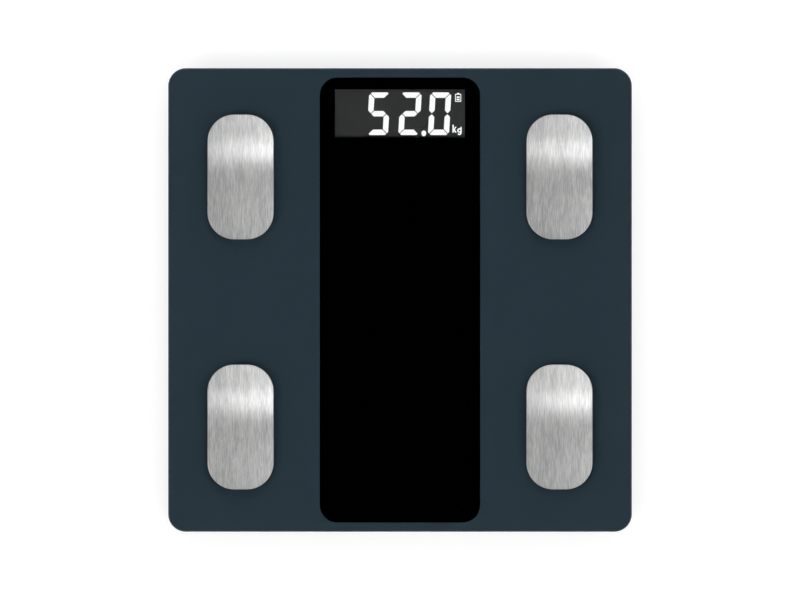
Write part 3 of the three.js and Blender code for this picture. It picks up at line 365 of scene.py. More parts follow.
FLOOR_GLOW = 0.645              # what the floor adds of its own, near the scale, to whatever looks at it
FLOOR_FADE = (0.5, 3.5)         # from the middle, in metres, where that glow starts and ends its rise to 1


def studio_floor():
    """Matt white paper sweep. What looks at it sees a white ground, and the shadow stays on it."""
    material, tree = start_material("white_paper")
    fibre = add_node(tree, "ShaderNodeTexNoise", inputs={
        "Vector": piece_coordinates(tree), "Scale": 400.0, "Detail": 2.0})
    paper = add_node(tree, "ShaderNodeBsdfDiffuse", inputs={
        "Color": colour_range(tree, fibre.outputs["Fac"], [(0.3, "#B8B8B8"), (0.7, "#BCBCBC")])})
    path = add_node(tree, "ShaderNodeLightPath")
    looks = add_node(tree, "ShaderNodeMath", {"operation": "ADD", "use_clamp": True}, {
        0: path.outputs["Is Camera Ray"], 1: path.outputs["Is Glossy Ray"]})
    looks = add_node(tree, "ShaderNodeMath", {"operation": "ADD", "use_clamp": True}, {
        0: looks.outputs[0], 1: path.outputs["Is Transmission Ray"]})
    away = add_node(tree, "ShaderNodeVectorMath", {"operation": "LENGTH"}, {
        "Vector": piece_coordinates(tree)})
    start, end = FLOOR_FADE
    level = add_node(tree, "ShaderNodeMapRange", {"interpolation_type": "SMOOTHSTEP"}, {
        "Value": away.outputs["Value"], "From Min": start, "From Max": end, "To Min": FLOOR_GLOW,
        "To Max": 1.0})
    strength = add_node(tree, "ShaderNodeMath", {"operation": "MULTIPLY"}, {
        0: looks.outputs[0], 1: level.outputs["Result"]})
    glow = add_node(tree, "ShaderNodeEmission", inputs={"Strength": strength.outputs[0]})
    finish_material(tree, add_node(tree, "ShaderNodeAddShader", inputs={
        0: paper.outputs[0], 1: glow.outputs[0]}).outputs[0])
    return material


# ---------------------------------------------------------------- modelling

def deselect():
    bpy.ops.object.select_all(action="DESELECT")


def apply_place():
    """Puts the active object's place, turn and size into its mesh."""
    bpy.ops.object.transform_apply(location=True, rotation=True, scale=True)


def choose(piece):
    """Only piece is selected, and it is active."""
    deselect()
    piece.select_set(True)
    bpy.context.view_layer.objects.active = piece


def start_editing(piece, kind="VERT"):
    choose(piece)
    bpy.ops.object.mode_set(mode="EDIT")
    bpy.ops.mesh.select_mode(type=kind)
    bpy.ops.mesh.select_all(action="DESELECT")


def pick(piece, parts, wanted):
    """In edit mode, selects the edges, faces or verts that wanted says yes to."""
    mesh = bmesh.from_edit_mesh(piece.data)
    for part in getattr(mesh, parts):
        if wanted(part):
            part.select_set(True)
    bmesh.update_edit_mesh(piece.data)


def stop_editing():
    bpy.ops.object.mode_set(mode="OBJECT")


def is_upright(edge):
    rise = edge.verts[1].co - edge.verts[0].co
    return abs(rise.z) > 0.99 * rise.length


def is_level_at(z):
    return lambda edge: all(abs(v.co.z - z) < 1e-6 for v in edge.verts)


def bevel_edges(piece, wanted, width, segments):
    start_editing(piece, "EDGE")
    pick(piece, "edges", wanted)
    bpy.ops.mesh.bevel(offset=width, segments=segments, affect="EDGES", clamp_overlap=False)
    stop_editing()


def add_block(name, low, high):
    """A box from its lowest to its highest corner."""
    low, high = Vector(low), Vector(high)
    deselect()
    bpy.ops.mesh.primitive_cube_add(size=1, location=(low + high) / 2, scale=high - low)
    apply_place()
    bpy.context.object.name = name
    return bpy.context.object


def add_slab(name, low, high, corner, top_round=0, bottom_round=0, corner_steps=16, round_steps=6):
    """A box with round corners seen from above, and its top and bottom edges rounded over."""
    slab = add_block(name, low, high)
    bevel_edges(slab, is_upright, corner, corner_steps)
    if top_round:
        bevel_edges(slab, is_level_at(high[2]), top_round, round_steps)
    if bottom_round:
        bevel_edges(slab, is_level_at(low[2]), bottom_round, round_steps)
    return slab


def add_drum(name, centre, radius, z0, z1, sides=96):
    deselect()
    bpy.ops.mesh.primitive_cylinder_add(
        vertices=sides, radius=radius, depth=z1 - z0, location=(centre[0], centre[1], (z0 + z1) / 2))
    apply_place()
    bpy.context.object.name = name
    return bpy.context.object


def arc_points(centre, radius, start, end, steps=6):
    """Points on an arc about centre, from one angle to another in degrees."""
    turns = [math.radians(start + (end - start) * i / steps) for i in range(steps + 1)]
    return [(centre[0] + radius * math.cos(t), centre[1] + radius * math.sin(t)) for t in turns]


def in_metres(points):
    return [(r * MM, z * MM) for r, z in points]


def add_turned(name, centre, profile, steps=96):
    """A profile of (radius, z) points turned about an upright axis through centre."""
    deselect()
    start = Vector((centre[0] + profile[0][0], centre[1], profile[0][1]))
    bpy.ops.mesh.primitive_plane_add(size=MM, location=(0, 0, 0))
    piece = bpy.context.object
    piece.name = name
    start_editing(piece)
    bpy.ops.mesh.select_all(action="SELECT")
    bpy.ops.mesh.merge(type="CENTER")
    bpy.ops.transform.translate(value=start)
    for (r0, z0), (r1, z1) in zip(profile, profile[1:]):
        bpy.ops.mesh.extrude_region_move(TRANSFORM_OT_translate={"value": (r1 - r0, 0, z1 - z0)})
    bpy.ops.mesh.select_all(action="SELECT")
    bpy.ops.mesh.spin(steps=steps, angle=2 * math.pi, center=(centre[0], centre[1], 0), axis=(0, 0, 1))
    bpy.ops.mesh.select_all(action="SELECT")
    bpy.ops.mesh.remove_doubles(threshold=1e-7)
    bpy.ops.mesh.normals_make_consistent(inside=False)
    stop_editing()
    return piece


def combine(piece, other, operation="DIFFERENCE"):
    """Cuts other out of piece, joins it on, or keeps what they share, and removes other."""
    choose(piece)
    bpy.ops.object.modifier_add(type="BOOLEAN")
    cut = piece.modifiers[-1]
    cut.operation, cut.object, cut.solver = operation, other, "EXACT"
    bpy.ops.object.modifier_apply(modifier=cut.name)
    bpy.data.objects.remove(other)
    return piece


def is_flat_side(face):
    """A broad face that is square to an axis, or has only the draft of a mould."""
    return face.calc_area() > 25 * MM * MM and max(abs(c) for c in face.normal) > 0.996


def smooth(piece, angle=32):
    """Smooth shading below angle, where flat sides stay flat up to the rounds that meet them."""
    start_editing(piece, "FACE")
    bpy.ops.mesh.select_all(action="SELECT")
    bpy.ops.mesh.mod_weighted_strength(set=True, face_strength="WEAK")
    bpy.ops.mesh.select_all(action="DESELECT")
    pick(piece, "faces", is_flat_side)
    bpy.ops.mesh.mod_weighted_strength(set=True, face_strength="STRONG")
    stop_editing()
    choose(piece)
    bpy.ops.object.shade_smooth_by_angle(angle=math.radians(angle))
    bpy.ops.object.modifier_add(type="WEIGHTED_NORMAL")
    weighting = piece.modifiers[-1]
    weighting.keep_sharp, weighting.use_face_influence = True, True
    bpy.ops.object.modifier_apply(modifier=weighting.name)
    return piece


def copy_of(piece, name):
    twin = piece.copy()
    twin.data = piece.data.copy()
    twin.name = name
    bpy.context.collection.objects.link(twin)
    return twin


def merged_copy(node, name):
    """A copy of a CAD node's mesh with its corners joined."""
    piece = copy_of(frame["nodes"][node], name)
    piece.parent = None
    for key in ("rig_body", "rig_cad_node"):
        del piece[key]
    piece.data.materials.clear()
    start_editing(piece)
    bpy.ops.mesh.select_all(action="SELECT")
    bpy.ops.mesh.remove_doubles(threshold=1e-6)
    bpy.ops.mesh.dissolve_limited(angle_limit=math.radians(0.5))
    stop_editing()
    bpy.ops.mesh.customdata_custom_splitnormals_clear()
    return piece


def hand_over(piece, material, body, slot, *nodes):
    """Gives a finished piece its material and its body, and hides the CAD nodes that it stands for. Its slot
    is not used.
    """
    piece.data.materials.clear()
    piece.data.materials.append(material)
    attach(piece, body)
    if nodes:
        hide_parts(*nodes)
    return piece


# ---------------------------------------------------------------- platform

def middle_of(node):
    low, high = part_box(node)
    return (low + high) / 2


def cut_stud_holes(piece, z0, z1):
    for corner in CORNERS:
        centre = middle_of("electrode_nut_" + corner)
        combine(piece, add_drum("hole", centre, STUD_HOLE_RADIUS * MM, z0 - MM, z1 + MM, 48))


def add_glass(material):
    low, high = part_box("glass_platform")
    glass = add_slab("platform_glass", low, high, PLATE_CORNER * MM, PLATE_EDGE * MM, INK_INSET * MM,
                     corner_steps=CORNER_STEPS, round_steps=8)
    cut_stud_holes(glass, low.z, high.z)
    hand_over(smooth(glass), material, "root", "glass", "glass_platform")


def add_ink_layer(name, node):
    """A layer of ink almost to the plate's edge, with its stud holes, and its lower and upper level."""
    low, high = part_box(node)
    plate_low, plate_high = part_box("glass_platform")
    inset = INK_INSET * MM
    low = (plate_low.x + inset, plate_low.y + inset, low.z)
    high = (plate_high.x - inset, plate_high.y - inset, high.z)
    layer = add_slab(name, low, high, (PLATE_CORNER - INK_INSET) * MM, corner_steps=CORNER_STEPS)
    cut_stud_holes(layer, low[2], high[2])
    return layer, low[2], high[2]


def add_slate_ink(material):
    """The coloured layer, open at the centre panel."""
    layer, z0, z1 = add_ink_layer("slate_ink_print", "slate_ink")
    x, y = PANEL_WIDTH / 2 * MM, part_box("glass_platform")[1].y - PANEL_END_MARGIN * MM
    panel = add_slab("panel", (-x, -y, z0 - MM), (x, y, z1 + MM), PANEL_CORNER * MM,
                     corner_steps=CORNER_STEPS)
    hand_over(smooth(combine(layer, panel)), material, "root", "slate_ink", "slate_ink")


def add_black_ink(material):
    """The backing layer, which shows as the centre panel and is open at the display's window."""
    layer, z0, z1 = add_ink_layer("black_ink_print", "black_ink")
    x, y, middle = WINDOW_WIDTH / 2 * MM, WINDOW_HEIGHT / 2 * MM, middle_of("backlight_panel")
    window = add_block("window", (-x, middle.y - y, z0 - MM), (x, middle.y + y, z1 + MM))
    hand_over(smooth(combine(layer, window)), material, "root", "black_ink", "black_ink")


def add_glue(material):
    low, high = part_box("glue_bead")
    inset = Vector((GLUE_WIDTH * MM, GLUE_WIDTH * MM, -MM))
    corner = (TRAY_CORNER - (TRAY_WALL - GLUE_WIDTH) / 2) * MM
    bead = add_slab("silicone_bead", low, high, corner)
    combine(bead, add_slab("inside", low + inset, high - inset, corner - GLUE_WIDTH * MM))
    hand_over(smooth(bead), material, "root", "glue", "glue_bead")


# ---------------------------------------------------------------- electrodes

GRAIN_TILT = 0.2


def map_grain(piece):
    """A flat UV map whose U runs across the brushing, tilted a little so that no side face is lost."""
    layer = piece.data.uv_layers.new(name="grain")
    for loop in piece.data.loops:
        x, y, z = piece.data.vertices[loop.vertex_index].co
        layer.data[loop.index].uv = (x + GRAIN_TILT * z, y + GRAIN_TILT * z)


def add_electrode(corner, material):
    """A pad of thin sheet with its welded stud, which goes down through the glass."""
    low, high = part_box("electrode_" + corner)
    underside = high.z - ELECTRODE_THICKNESS * MM
    pad = add_slab("brushed_electrode_" + corner, (low.x, low.y, underside), high,
                   ELECTRODE_CORNER * MM, top_round=ELECTRODE_EDGE * MM,
                   corner_steps=CORNER_STEPS, round_steps=4)
    stud = add_drum("stud", middle_of("electrode_nut_" + corner), STUD_RADIUS * MM, low.z,
                    underside + 0.1 * MM, 32)
    combine(pad, stud, "UNION")
    map_grain(pad)
    hand_over(smooth(pad, 40), material, "root", "electrode_steel", "electrode_" + corner)


# ---------------------------------------------------------------- display

# Artwork, in millimetres, placed from the window's middle
ARTWORK_THICKNESS = 0.05
DIGIT_WIDTH = 11.85
DIGIT_HEIGHT = 23.9
DIGIT_DROP = 0.16       # of the digits' middle below the window's
DIGIT_PLACES = (("five", -12.0), ("two", 5.6), ("zero", 22.2))
BAR = 3.05              # width of one bar of a digit
BAR_GAP = 0.4           # between two bars
BAR_CHAMFER = 1.7       # cut off each outer corner of a digit
SLANT = 0.057           # lean to the right for each unit of height
POINT_PLACE = (13.35, -11.15)
POINT_SIZE = (2.6, 3.2)
UNIT_PLACE = (29.4, -10.75)
LETTER_STROKE = 0.72
LETTER_ARM = 1.25 * LETTER_STROKE     # width of the slanting arms of the k, along the line
LETTER_ASCENDER = 4.4
LETTER_HEIGHT = 3.2
LETTER_DESCENDER = 1.35
LETTER_WIDTH = 2.3
LETTER_SPACE = 0.35
LETTER_BOWL = 1.25      # radius of the round of the g
GAUGE_PLACE = (32.6, 9.0)
GAUGE_SIZE = (3.4, 4.9)
GAUGE_WALL = 0.42
GAUGE_TIP = (1.4, 0.5)  # width and height
GAUGE_BAR = 0.85
GAUGE_BAR_PITCH = 1.3
LIT_BARS = {
    "five": ("top", "upper_left", "middle", "lower_right", "bottom"),
    "two": ("top", "upper_right", "middle", "lower_left", "bottom"),
    "zero": ("top", "upper_left", "upper_right", "lower_left", "lower_right", "bottom"),
}


def bar_outlines():
    """Outlines of a digit's seven bars about its middle, before the slant."""
    x, y = DIGIT_WIDTH / 2, DIGIT_HEIGHT / 2
    gap = BAR_GAP / math.sqrt(2)
    near, far = (BAR_CHAMFER - gap) / 2, (BAR_CHAMFER + gap) / 2
    inner = BAR + gap
    level = [(-x + far, y - near), (-x + BAR_CHAMFER, y), (x - BAR_CHAMFER, y), (x - far, y - near),
             (x - inner, y - BAR), (-x + inner, y - BAR)]
    upright = [(-x + near, y - far), (-x, y - BAR_CHAMFER), (-x, BAR / 2 + gap), (-x + BAR / 2, gap),
               (-x + BAR, BAR / 2 + gap), (-x + BAR, y - inner)]
    middle = [(-x + BAR / 2 + gap, 0), (-x + inner, BAR / 2), (x - inner, BAR / 2),
              (x - BAR / 2 - gap, 0), (x - inner, -BAR / 2), (-x + inner, -BAR / 2)]

    def mirrored(outline, across, along):
        return [(px * across, py * along) for px, py in outline]

    return {
        "top": level, "middle": middle, "bottom": mirrored(level, 1, -1),
        "upper_left": upright, "upper_right": mirrored(upright, -1, 1),
        "lower_left": mirrored(upright, 1, -1), "lower_right": mirrored(upright, -1, -1),
    }


def add_flat_shape(name, outlines, z):
    """Flat outlines as a thin solid that stands on z."""
    curve = bpy.data.curves.new(name, "CURVE")
    curve.dimensions, curve.fill_mode = "2D", "BOTH"
    curve.extrude = ARTWORK_THICKNESS / 2 * MM
    for outline in outlines:
        spline = curve.splines.new("POLY")
        spline.points.add(len(outline) - 1)
        spline.use_cyclic_u = True
        for point, (x, y) in zip(spline.points, outline):
            point.co = (x * MM, y * MM, 0, 1)
    shape = bpy.data.objects.new(name, curve)
    bpy.context.collection.objects.link(shape)
    choose(shape)
    bpy.ops.object.convert(target="MESH")
    shape = bpy.context.object
    start_editing(shape)
    bpy.ops.mesh.select_all(action="SELECT")
    bpy.ops.mesh.remove_doubles(threshold=1e-7)
    stop_editing()
    shape.location = (0, middle_of("backlight_panel").y, z + ARTWORK_THICKNESS / 2 * MM)
    apply_place()
    return shape


def circle_outline(centre, radius, sides=40):
    return arc_points(centre, radius, 0, 360, sides)[:-1]


def box_outline(x0, y0, x1, y1):
    return [(x0, y0), (x1, y0), (x1, y1), (x0, y1)]


def add_lit_shape(name, outlines, material, z):
    hand_over(add_flat_shape(name, outlines, z), material, "root", "lcd_glass")


def add_digits(material, z):
    bars = bar_outlines()
    for place, (digit, centre) in enumerate(DIGIT_PLACES, 1):
        outlines = [[(x + SLANT * y + centre, y - DIGIT_DROP) for x, y in bars[name]]
                    for name in LIT_BARS[digit]]
        add_lit_shape(f"digit_{place}_{digit}", outlines, material, z)
    (x, y), (width, height) = POINT_PLACE, POINT_SIZE
    oval = [(x + px * width / 2, y + py * height / 2) for px, py in circle_outline((0, 0), 1)]
    add_lit_shape("decimal_point", [oval], material, z)


def add_unit_letters(material, z):
    """The letters of the unit, drawn as masks of a display are: even strokes on a common line."""
    x, y = UNIT_PLACE
    stroke, height, bowl = LETTER_STROKE, LETTER_HEIGHT, LETTER_BOWL
    arm_end, leg_end = x + LETTER_WIDTH, x + LETTER_WIDTH + 0.1
    k = [(x, y), (x, y + LETTER_ASCENDER), (x + stroke, y + LETTER_ASCENDER), (x + stroke, y + height * 0.56),
         (arm_end - LETTER_ARM, y + height), (arm_end, y + height), (x + stroke + 0.62, y + height * 0.54),
         (leg_end, y), (leg_end - LETTER_ARM, y), (x + stroke, y + height * 0.34), (x + stroke, y)]
    add_lit_shape("unit_letter_k", [k], material, z)
    centre = (arm_end + LETTER_SPACE + bowl, y + bowl - 0.05)
    right = centre[0] + bowl
    tail = (centre[0], y - LETTER_DESCENDER + bowl)
    stem = [(right - stroke, y + height), (right, y + height), (right, tail[1])]
    stem += arc_points(tail, bowl, 0, -150, 16) + arc_points(tail, bowl - stroke, -150, 0, 16)
    ring = [circle_outline(centre, bowl), circle_outline(centre, bowl - stroke)]
    add_lit_shape("unit_letter_g_bowl", ring, material, z)
    add_lit_shape("unit_letter_g_stem", [stem], material, z)


def add_battery_gauge(material, z):
    """A plain battery outline with two bars in it."""
    (x, y), (width, height), (tip_width, tip_height) = GAUGE_PLACE, GAUGE_SIZE, GAUGE_TIP
    left, bottom, right, top = x - width / 2, y - height / 2, x + width / 2, y + height / 2 - tip_height
    wall, seam = GAUGE_WALL, 0.01
    outlines = [box_outline(left, bottom, right, top),
                box_outline(left + wall, bottom + wall, right - wall, top - wall),
                box_outline(x - tip_width / 2, top + seam, x + tip_width / 2, top + tip_height)]
    for level in (0, 1):
        base = bottom + 2 * wall + level * GAUGE_BAR_PITCH
        outlines.append(box_outline(left + 2 * wall, base, right - 2 * wall, base + GAUGE_BAR))
    add_lit_shape("battery_gauge", outlines, material, z)


def add_display(lit):
    """The lit shapes, on the face of the panel."""
    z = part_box("lcd_panel")[1].z
    add_digits(lit, z)
    add_unit_letters(lit, z)
    add_battery_gauge(lit, z)


# ---------------------------------------------------------------- base housing

# These cuts, in millimetres, go a hair past the coarser ones that they true up.
FOOT_HOLE_RADIUS = 18.55
FOOT_HOLE_DEPTH = 2.1
BUTTON_HOLE_RADIUS = 4.03
BUTTON_HOLE_DEPTH = 3
DISH_MOUTH_RADIUS = 7.56
DISH_FLOOR_RADIUS = 4.36
DISH_DEPTH = 0.72
DOOR_BREAK = 0.12       # width of the break on the door's sharp edges


def add_housing(material):
    """The moulded tray, with its round openings and the dish around the button cut true."""
    housing = merged_copy("base_housing", "tray_moulding")
    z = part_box("base_housing")[0].z
    below = z - MM
    for corner in CORNERS:
        combine(housing, add_drum("hole", middle_of("foot_pad_" + corner), FOOT_HOLE_RADIUS * MM,
                                  below, z + FOOT_HOLE_DEPTH * MM, 120))
    centre = middle_of("unit_button")
    mouth, floor, depth = DISH_MOUTH_RADIUS * MM, DISH_FLOOR_RADIUS * MM, DISH_DEPTH * MM
    profile = [(0, below), (mouth, below), (mouth, z), (floor, z + depth), (0, z + depth)]
    combine(housing, add_turned("dish", centre, profile, 64))
    combine(housing, add_drum("hole", centre, BUTTON_HOLE_RADIUS * MM, below, z + BUTTON_HOLE_DEPTH * MM, 64))
    hand_over(smooth(housing), material, "root", "black_plastic", "base_housing")


def add_door(material):
    """The battery door, with its sharp edges broken."""
    door = merged_copy("battery_door", "battery_cover")
    choose(door)
    bpy.ops.object.modifier_add(type="BEVEL")
    edge = door.modifiers[-1]
    edge.width, edge.segments = DOOR_BREAK * MM, 2
    edge.limit_method, edge.angle_limit = "ANGLE", math.radians(50)
    bpy.ops.object.modifier_apply(modifier=edge.name)
    hand_over(smooth(door), material, "battery_door", "black_plastic", "battery_door")


# ---------------------------------------------------------------- feet and button

# In millimetres
OVERLAP = 0.5           # of two shapes that are joined into one
SKIRT_RADIUS = 18
SKIRT_EDGE = 0.8        # round of the skirt's lower edge
SOCKET_RADIUS = 15.3
SOCKET_CHAMFER = 0.2
CAP_HOLLOW_RADIUS = 13.5
CAP_WEB = 1.5           # between the pad's socket and the hollow above it
FLANGE_CORNER = 8
FLANGE_THICKNESS = 2
FLANGE_LIP = 1.6        # round the nest that the load cell lies in
NEST_SIDE = 34.6
NEST_CORNER = 5
PAD_RADIUS = 15
PAD_EDGE = 0.8
PAD_GAP = 0.1           # between the pad and the roof of its socket
GROOVE_RADIUS = 7.3
GROOVE_WIDTH = 2.6      # at its mouth, which is twice the width of its floor
GROOVE_DEPTH = 0.7
BUTTON_RADIUS = 3.7
BUTTON_EDGE = 0.5
BUTTON_HOLLOW = (0.12, 0.07)    # depth of the finger hollow in its face, at the middle and halfway out
BUTTON_RIM = 0.3        # flat ring around that hollow
BUTTON_FLANGE = 6.3     # height of the flange's underside above the floor
BUTTON_FLANGE_THICKNESS = 0.8
BUTTON_STEM_RADIUS = 1.6


def add_foot_cap(corner, material):
    """The turned skirt that shows under the tray, joined to the flange that its well holds."""
    low, high = [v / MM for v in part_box("foot_cap_" + corner)]
    centre = middle_of("foot_pad_" + corner)
    flange = high.z - FLANGE_LIP - FLANGE_THICKNESS
    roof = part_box("foot_pad_" + corner)[1].z / MM + PAD_GAP
    profile = [(0, roof), (SOCKET_RADIUS, roof), (SOCKET_RADIUS, low.z + SOCKET_CHAMFER),
               (SOCKET_RADIUS + SOCKET_CHAMFER, low.z)]
    profile += arc_points((SKIRT_RADIUS - SKIRT_EDGE, low.z + SKIRT_EDGE), SKIRT_EDGE, -90, 0)
    profile += [(SKIRT_RADIUS, flange + OVERLAP), (0, flange + OVERLAP)]
    cap = add_turned("foot_skirt_" + corner, centre, in_metres(profile), 120)
    half, above = NEST_SIDE / 2 * MM, (high.z + 1) * MM
    nest_low = (centre.x - half, centre.y - half, (high.z - FLANGE_LIP) * MM)
    nest_high = (centre.x + half, centre.y + half, above)
    flange_low = Vector((low.x, low.y, flange)) * MM
    combine(cap, add_slab("flange", flange_low, high * MM, FLANGE_CORNER * MM), "UNION")
    combine(cap, add_slab("nest", nest_low, nest_high, NEST_CORNER * MM))
    combine(cap, add_drum("hollow", centre, CAP_HOLLOW_RADIUS * MM, (roof + CAP_WEB) * MM, above))
    hand_over(smooth(cap), material, "foot_" + corner, "black_plastic", "foot_cap_" + corner)


def add_foot_pad(corner, material):
    """A round pad with a ring groove in its sole."""
    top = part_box("foot_pad_" + corner)[1].z / MM
    half = GROOVE_WIDTH / 2
    profile = [(0, 0.0), (GROOVE_RADIUS - half, 0), (GROOVE_RADIUS - half / 2, GROOVE_DEPTH),
               (GROOVE_RADIUS + half / 2, GROOVE_DEPTH), (GROOVE_RADIUS + half, 0)]
    profile += arc_points((PAD_RADIUS - PAD_EDGE, PAD_EDGE), PAD_EDGE, -90, 0)
    profile += [(PAD_RADIUS, top), (0, top)]
    pad = add_turned("rubber_pad_" + corner, middle_of("foot_pad_" + corner), in_metres(profile), 96)
    hand_over(smooth(pad), material, "foot_" + corner, "foot_rubber", "foot_pad_" + corner)


def add_button(material):
    """The button under the tray: a round face with a finger hollow, a flange and a stem to the switch."""
    low, high = [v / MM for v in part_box("unit_button")]
    flange_radius, flange_top = (high.x - low.x) / 2, BUTTON_FLANGE + BUTTON_FLANGE_THICKNESS
    middle, halfway = BUTTON_HOLLOW
    profile = [(0, low.z + middle), (BUTTON_RADIUS * 0.45, low.z + halfway),
               (BUTTON_RADIUS - BUTTON_EDGE - BUTTON_RIM, low.z)]
    profile += arc_points((BUTTON_RADIUS - BUTTON_EDGE, low.z + BUTTON_EDGE), BUTTON_EDGE, -90, 0)
    profile += [(BUTTON_RADIUS, BUTTON_FLANGE), (flange_radius, BUTTON_FLANGE), (flange_radius, flange_top),
                (BUTTON_STEM_RADIUS, flange_top), (BUTTON_STEM_RADIUS, high.z), (0, high.z)]
    button = add_turned("unit_select_button", middle_of("unit_button"), in_metres(profile), 64)
    hand_over(smooth(button), material, "unit_button", "white_plastic", "unit_button")


# ---------------------------------------------------------------- batteries

# In millimetres
TIP_RADIUS = 1.9
TIP_HEIGHT = 0.8
TIP_EDGE = 0.2
CELL_EDGE = 0.5         # round of the sleeve's lower edge, and of its shoulder
BASE_STEP = 1.6         # from the cell's side in to the bare flat of its base
BASE_DEPTH = 0.3
SLEEVE_LIP = 1.1        # how far the sleeve is shrunk over each end


def tip_is_forward(number):
    """The springs are at the near end of the outer cells and at the far end of the middle one."""
    return number != 2


def cell_profile(radius, length):
    """Half of a cell's outline, from the middle of its base to the middle of its tip."""
    shoulder = length - TIP_HEIGHT
    waist = radius - CELL_EDGE
    lower = arc_points((waist, CELL_EDGE), CELL_EDGE, -90, 0)
    upper = arc_points((waist, shoulder - CELL_EDGE), CELL_EDGE, 0, 60)
    base = [(0, BASE_DEPTH), (radius - BASE_STEP, BASE_DEPTH), (radius - BASE_STEP, 0.12), (waist, 0.0)]
    tip = [(radius - 1.2, shoulder - 0.18), (TIP_RADIUS + 1.0, shoulder - 0.2), (TIP_RADIUS, shoulder - 0.1),
           (TIP_RADIUS, length - TIP_EDGE), (TIP_RADIUS - TIP_EDGE, length), (0, length)]
    return base + lower[1:] + upper + tip


def add_battery(number, sleeve, can):
    """A sleeved cell, modelled upright and then laid along Y, with a bare can end at each end."""
    node = f"battery_{number}"
    low, high = [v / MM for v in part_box(node)]
    radius, length = (high.x - low.x) / 2, high.y - low.y
    middle_x, middle_z = (low.x + high.x) / 2, (low.z + high.z) / 2
    cell = add_turned(f"aaa_cell_{number}", (0, 0), in_metres(cell_profile(radius, length)), 64)
    forward = tip_is_forward(number)
    choose(cell)
    cell.rotation_euler.x = -math.pi / 2 if forward else math.pi / 2
    cell.location = Vector((middle_x, low.y if forward else high.y, middle_z)) * MM
    apply_place()
    hand_over(smooth(cell), sleeve, "root", "battery_sleeve", node)
    cell.data.materials.append(can)
    for face in cell.data.polygons:
        off_axis = math.hypot(face.center.x - middle_x * MM, face.center.z - middle_z * MM)
        if off_axis < (radius - SLEEVE_LIP) * MM:
            face.material_index = 1


# ---------------------------------------------------------------- pieces that keep their CAD mesh

def restyle(material, slot_name, *nodes):
    """Gives CAD nodes a finish. slot_name is not used."""
    for name in nodes:
        node = frame["nodes"][name]
        node.data.materials.clear()
        node.data.materials.append(material)


def each_corner(stem):
    return [f"{stem}_{corner}" for corner in CORNERS]


# ---------------------------------------------------------------- the scale

def build():
    abs_black = textured_plastic("spark_textured_abs", "#1C1F21", "#232628")
    acetal = textured_plastic("white_acetal", "#DEDED8", "#E9E9E4", roughness=0.42, depth_mm=0.012)
    steel = brushed_steel()
    rubber = dry_rubber("moulded_tpe_rubber", "#151618", "#2A2B2C")
    nickel = plated_metal("nickel_plated_steel", "#D2CDC0", "#B5AFA2", 0.28)
    zinc = plated_metal("zinc_plated_steel", "#C3C7CB", "#9DA2A7", 0.4, grain_mm=7)
    epoxy = textured_plastic("potting_epoxy", "#0B0B0C", "#131314", grain_mm=2, roughness=0.3)
    sleeve_red = textured_plastic("pvc_lead_sleeve", "#A92F25", "#BA382C", grain_mm=1.5, roughness=0.45)
    guide = textured_plastic("opal_acrylic", "#E4E8EB", "#F0F2F4", grain_mm=1, roughness=0.35)

    add_glass(tempered_glass())
    add_slate_ink(screen_ink("slate_screen_ink", "#2A363F", "#2B3740"))
    add_black_ink(screen_ink("black_screen_ink", "#000000", "#010101"))
    add_glue(silicone_glue())
    for corner in CORNERS:
        add_electrode(corner, steel)
    add_display(lit_segment())
    add_housing(abs_black)
    add_door(abs_black)
    for corner in CORNERS:
        add_foot_cap(corner, abs_black)
        add_foot_pad(corner, rubber)
    add_button(acetal)
    low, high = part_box("battery_1")
    wrap = battery_sleeve(low.y, high.y)
    for number in (1, 2, 3):
        add_battery(number, wrap, nickel)

    restyle(nickel, "contact_nickel", "positive_contact", "negative_contact", "bridge_contact_far",
            "bridge_contact_near", *each_corner("electrode_nut"))
    restyle(zinc, "stamped_steel", *each_corner("load_cell"), *[f"board_screw_{i}" for i in (1, 2, 3, 4)])
    restyle(acetal, "white_plastic", *each_corner("load_cell_bracket"), "switch_plunger")
    restyle(sleeve_red, "lead_sleeve", *each_corner("load_cell_lead"), *each_corner("electrode_lead"),
            "battery_lead_positive", "battery_lead_negative")
    restyle(circuit_laminate(), "board", "circuit_board")
    restyle(polariser_glass(), "lcd_glass", "lcd_panel")
    restyle(abs_black, "black_plastic", "display_frame", "switch_body")
    restyle(soft_foam(), "foam", "display_gasket")
    restyle(guide, "light_guide", "backlight_panel")
    restyle(epoxy, "epoxy", "controller_blob")


# ---------------------------------------------------------------- studio

KEY_TURNS = (60, 180, 300)      # of the softboxes about the scale, in degrees
KEY_TILT = 42                   # of the softboxes off the vertical, in degrees
KEY_DISTANCE = 3.0
KEY_SIZE = 1.9
KEY_SHARE = 0.58        # of the level at which a colour shows as it is written
RIM_FADE = (0.25, 0.5)  # where a softbox starts and ends its fade, as shares of its side from its middle
FADE_SHARE = 0.45       # what that fade leaves of the whole square's light
GLEAM_SHARE = 0.3       # of a softbox's light, in the twin that lights the steel
GLEAM_DISTANCE = 0.98   # of a softbox's distance, since two lamps in one place put each other out
# Each strip lamp's place along the electrode, as a share from its near end, its shift to the right, height
# and width in metres, and its watts
STRIPS = (
    (0.71, 0.038, 0.085, 0.007, 0.0068),
    (1.03, 0.075, 0.150, 0.020, 0.0215),
    (0.16, 0.088, 0.120, 0.035, 0.0160),
)
STRIP_LENGTH = 0.09
WALL_STOPS = (          # by height: 0 at the horizon and below it, 1 straight above
    (0.0, "#FFFFFF"), (0.01, "#E2E2E2"), (0.25, "#C2C2C2"), (0.45, "#989898"), (0.65, "#AAAAAA"),
    (0.93, "#BCBCBC"), (0.985, "#BCBCBC"), (0.996, "#000000"),
)
FLOOR_RADIUS = 8


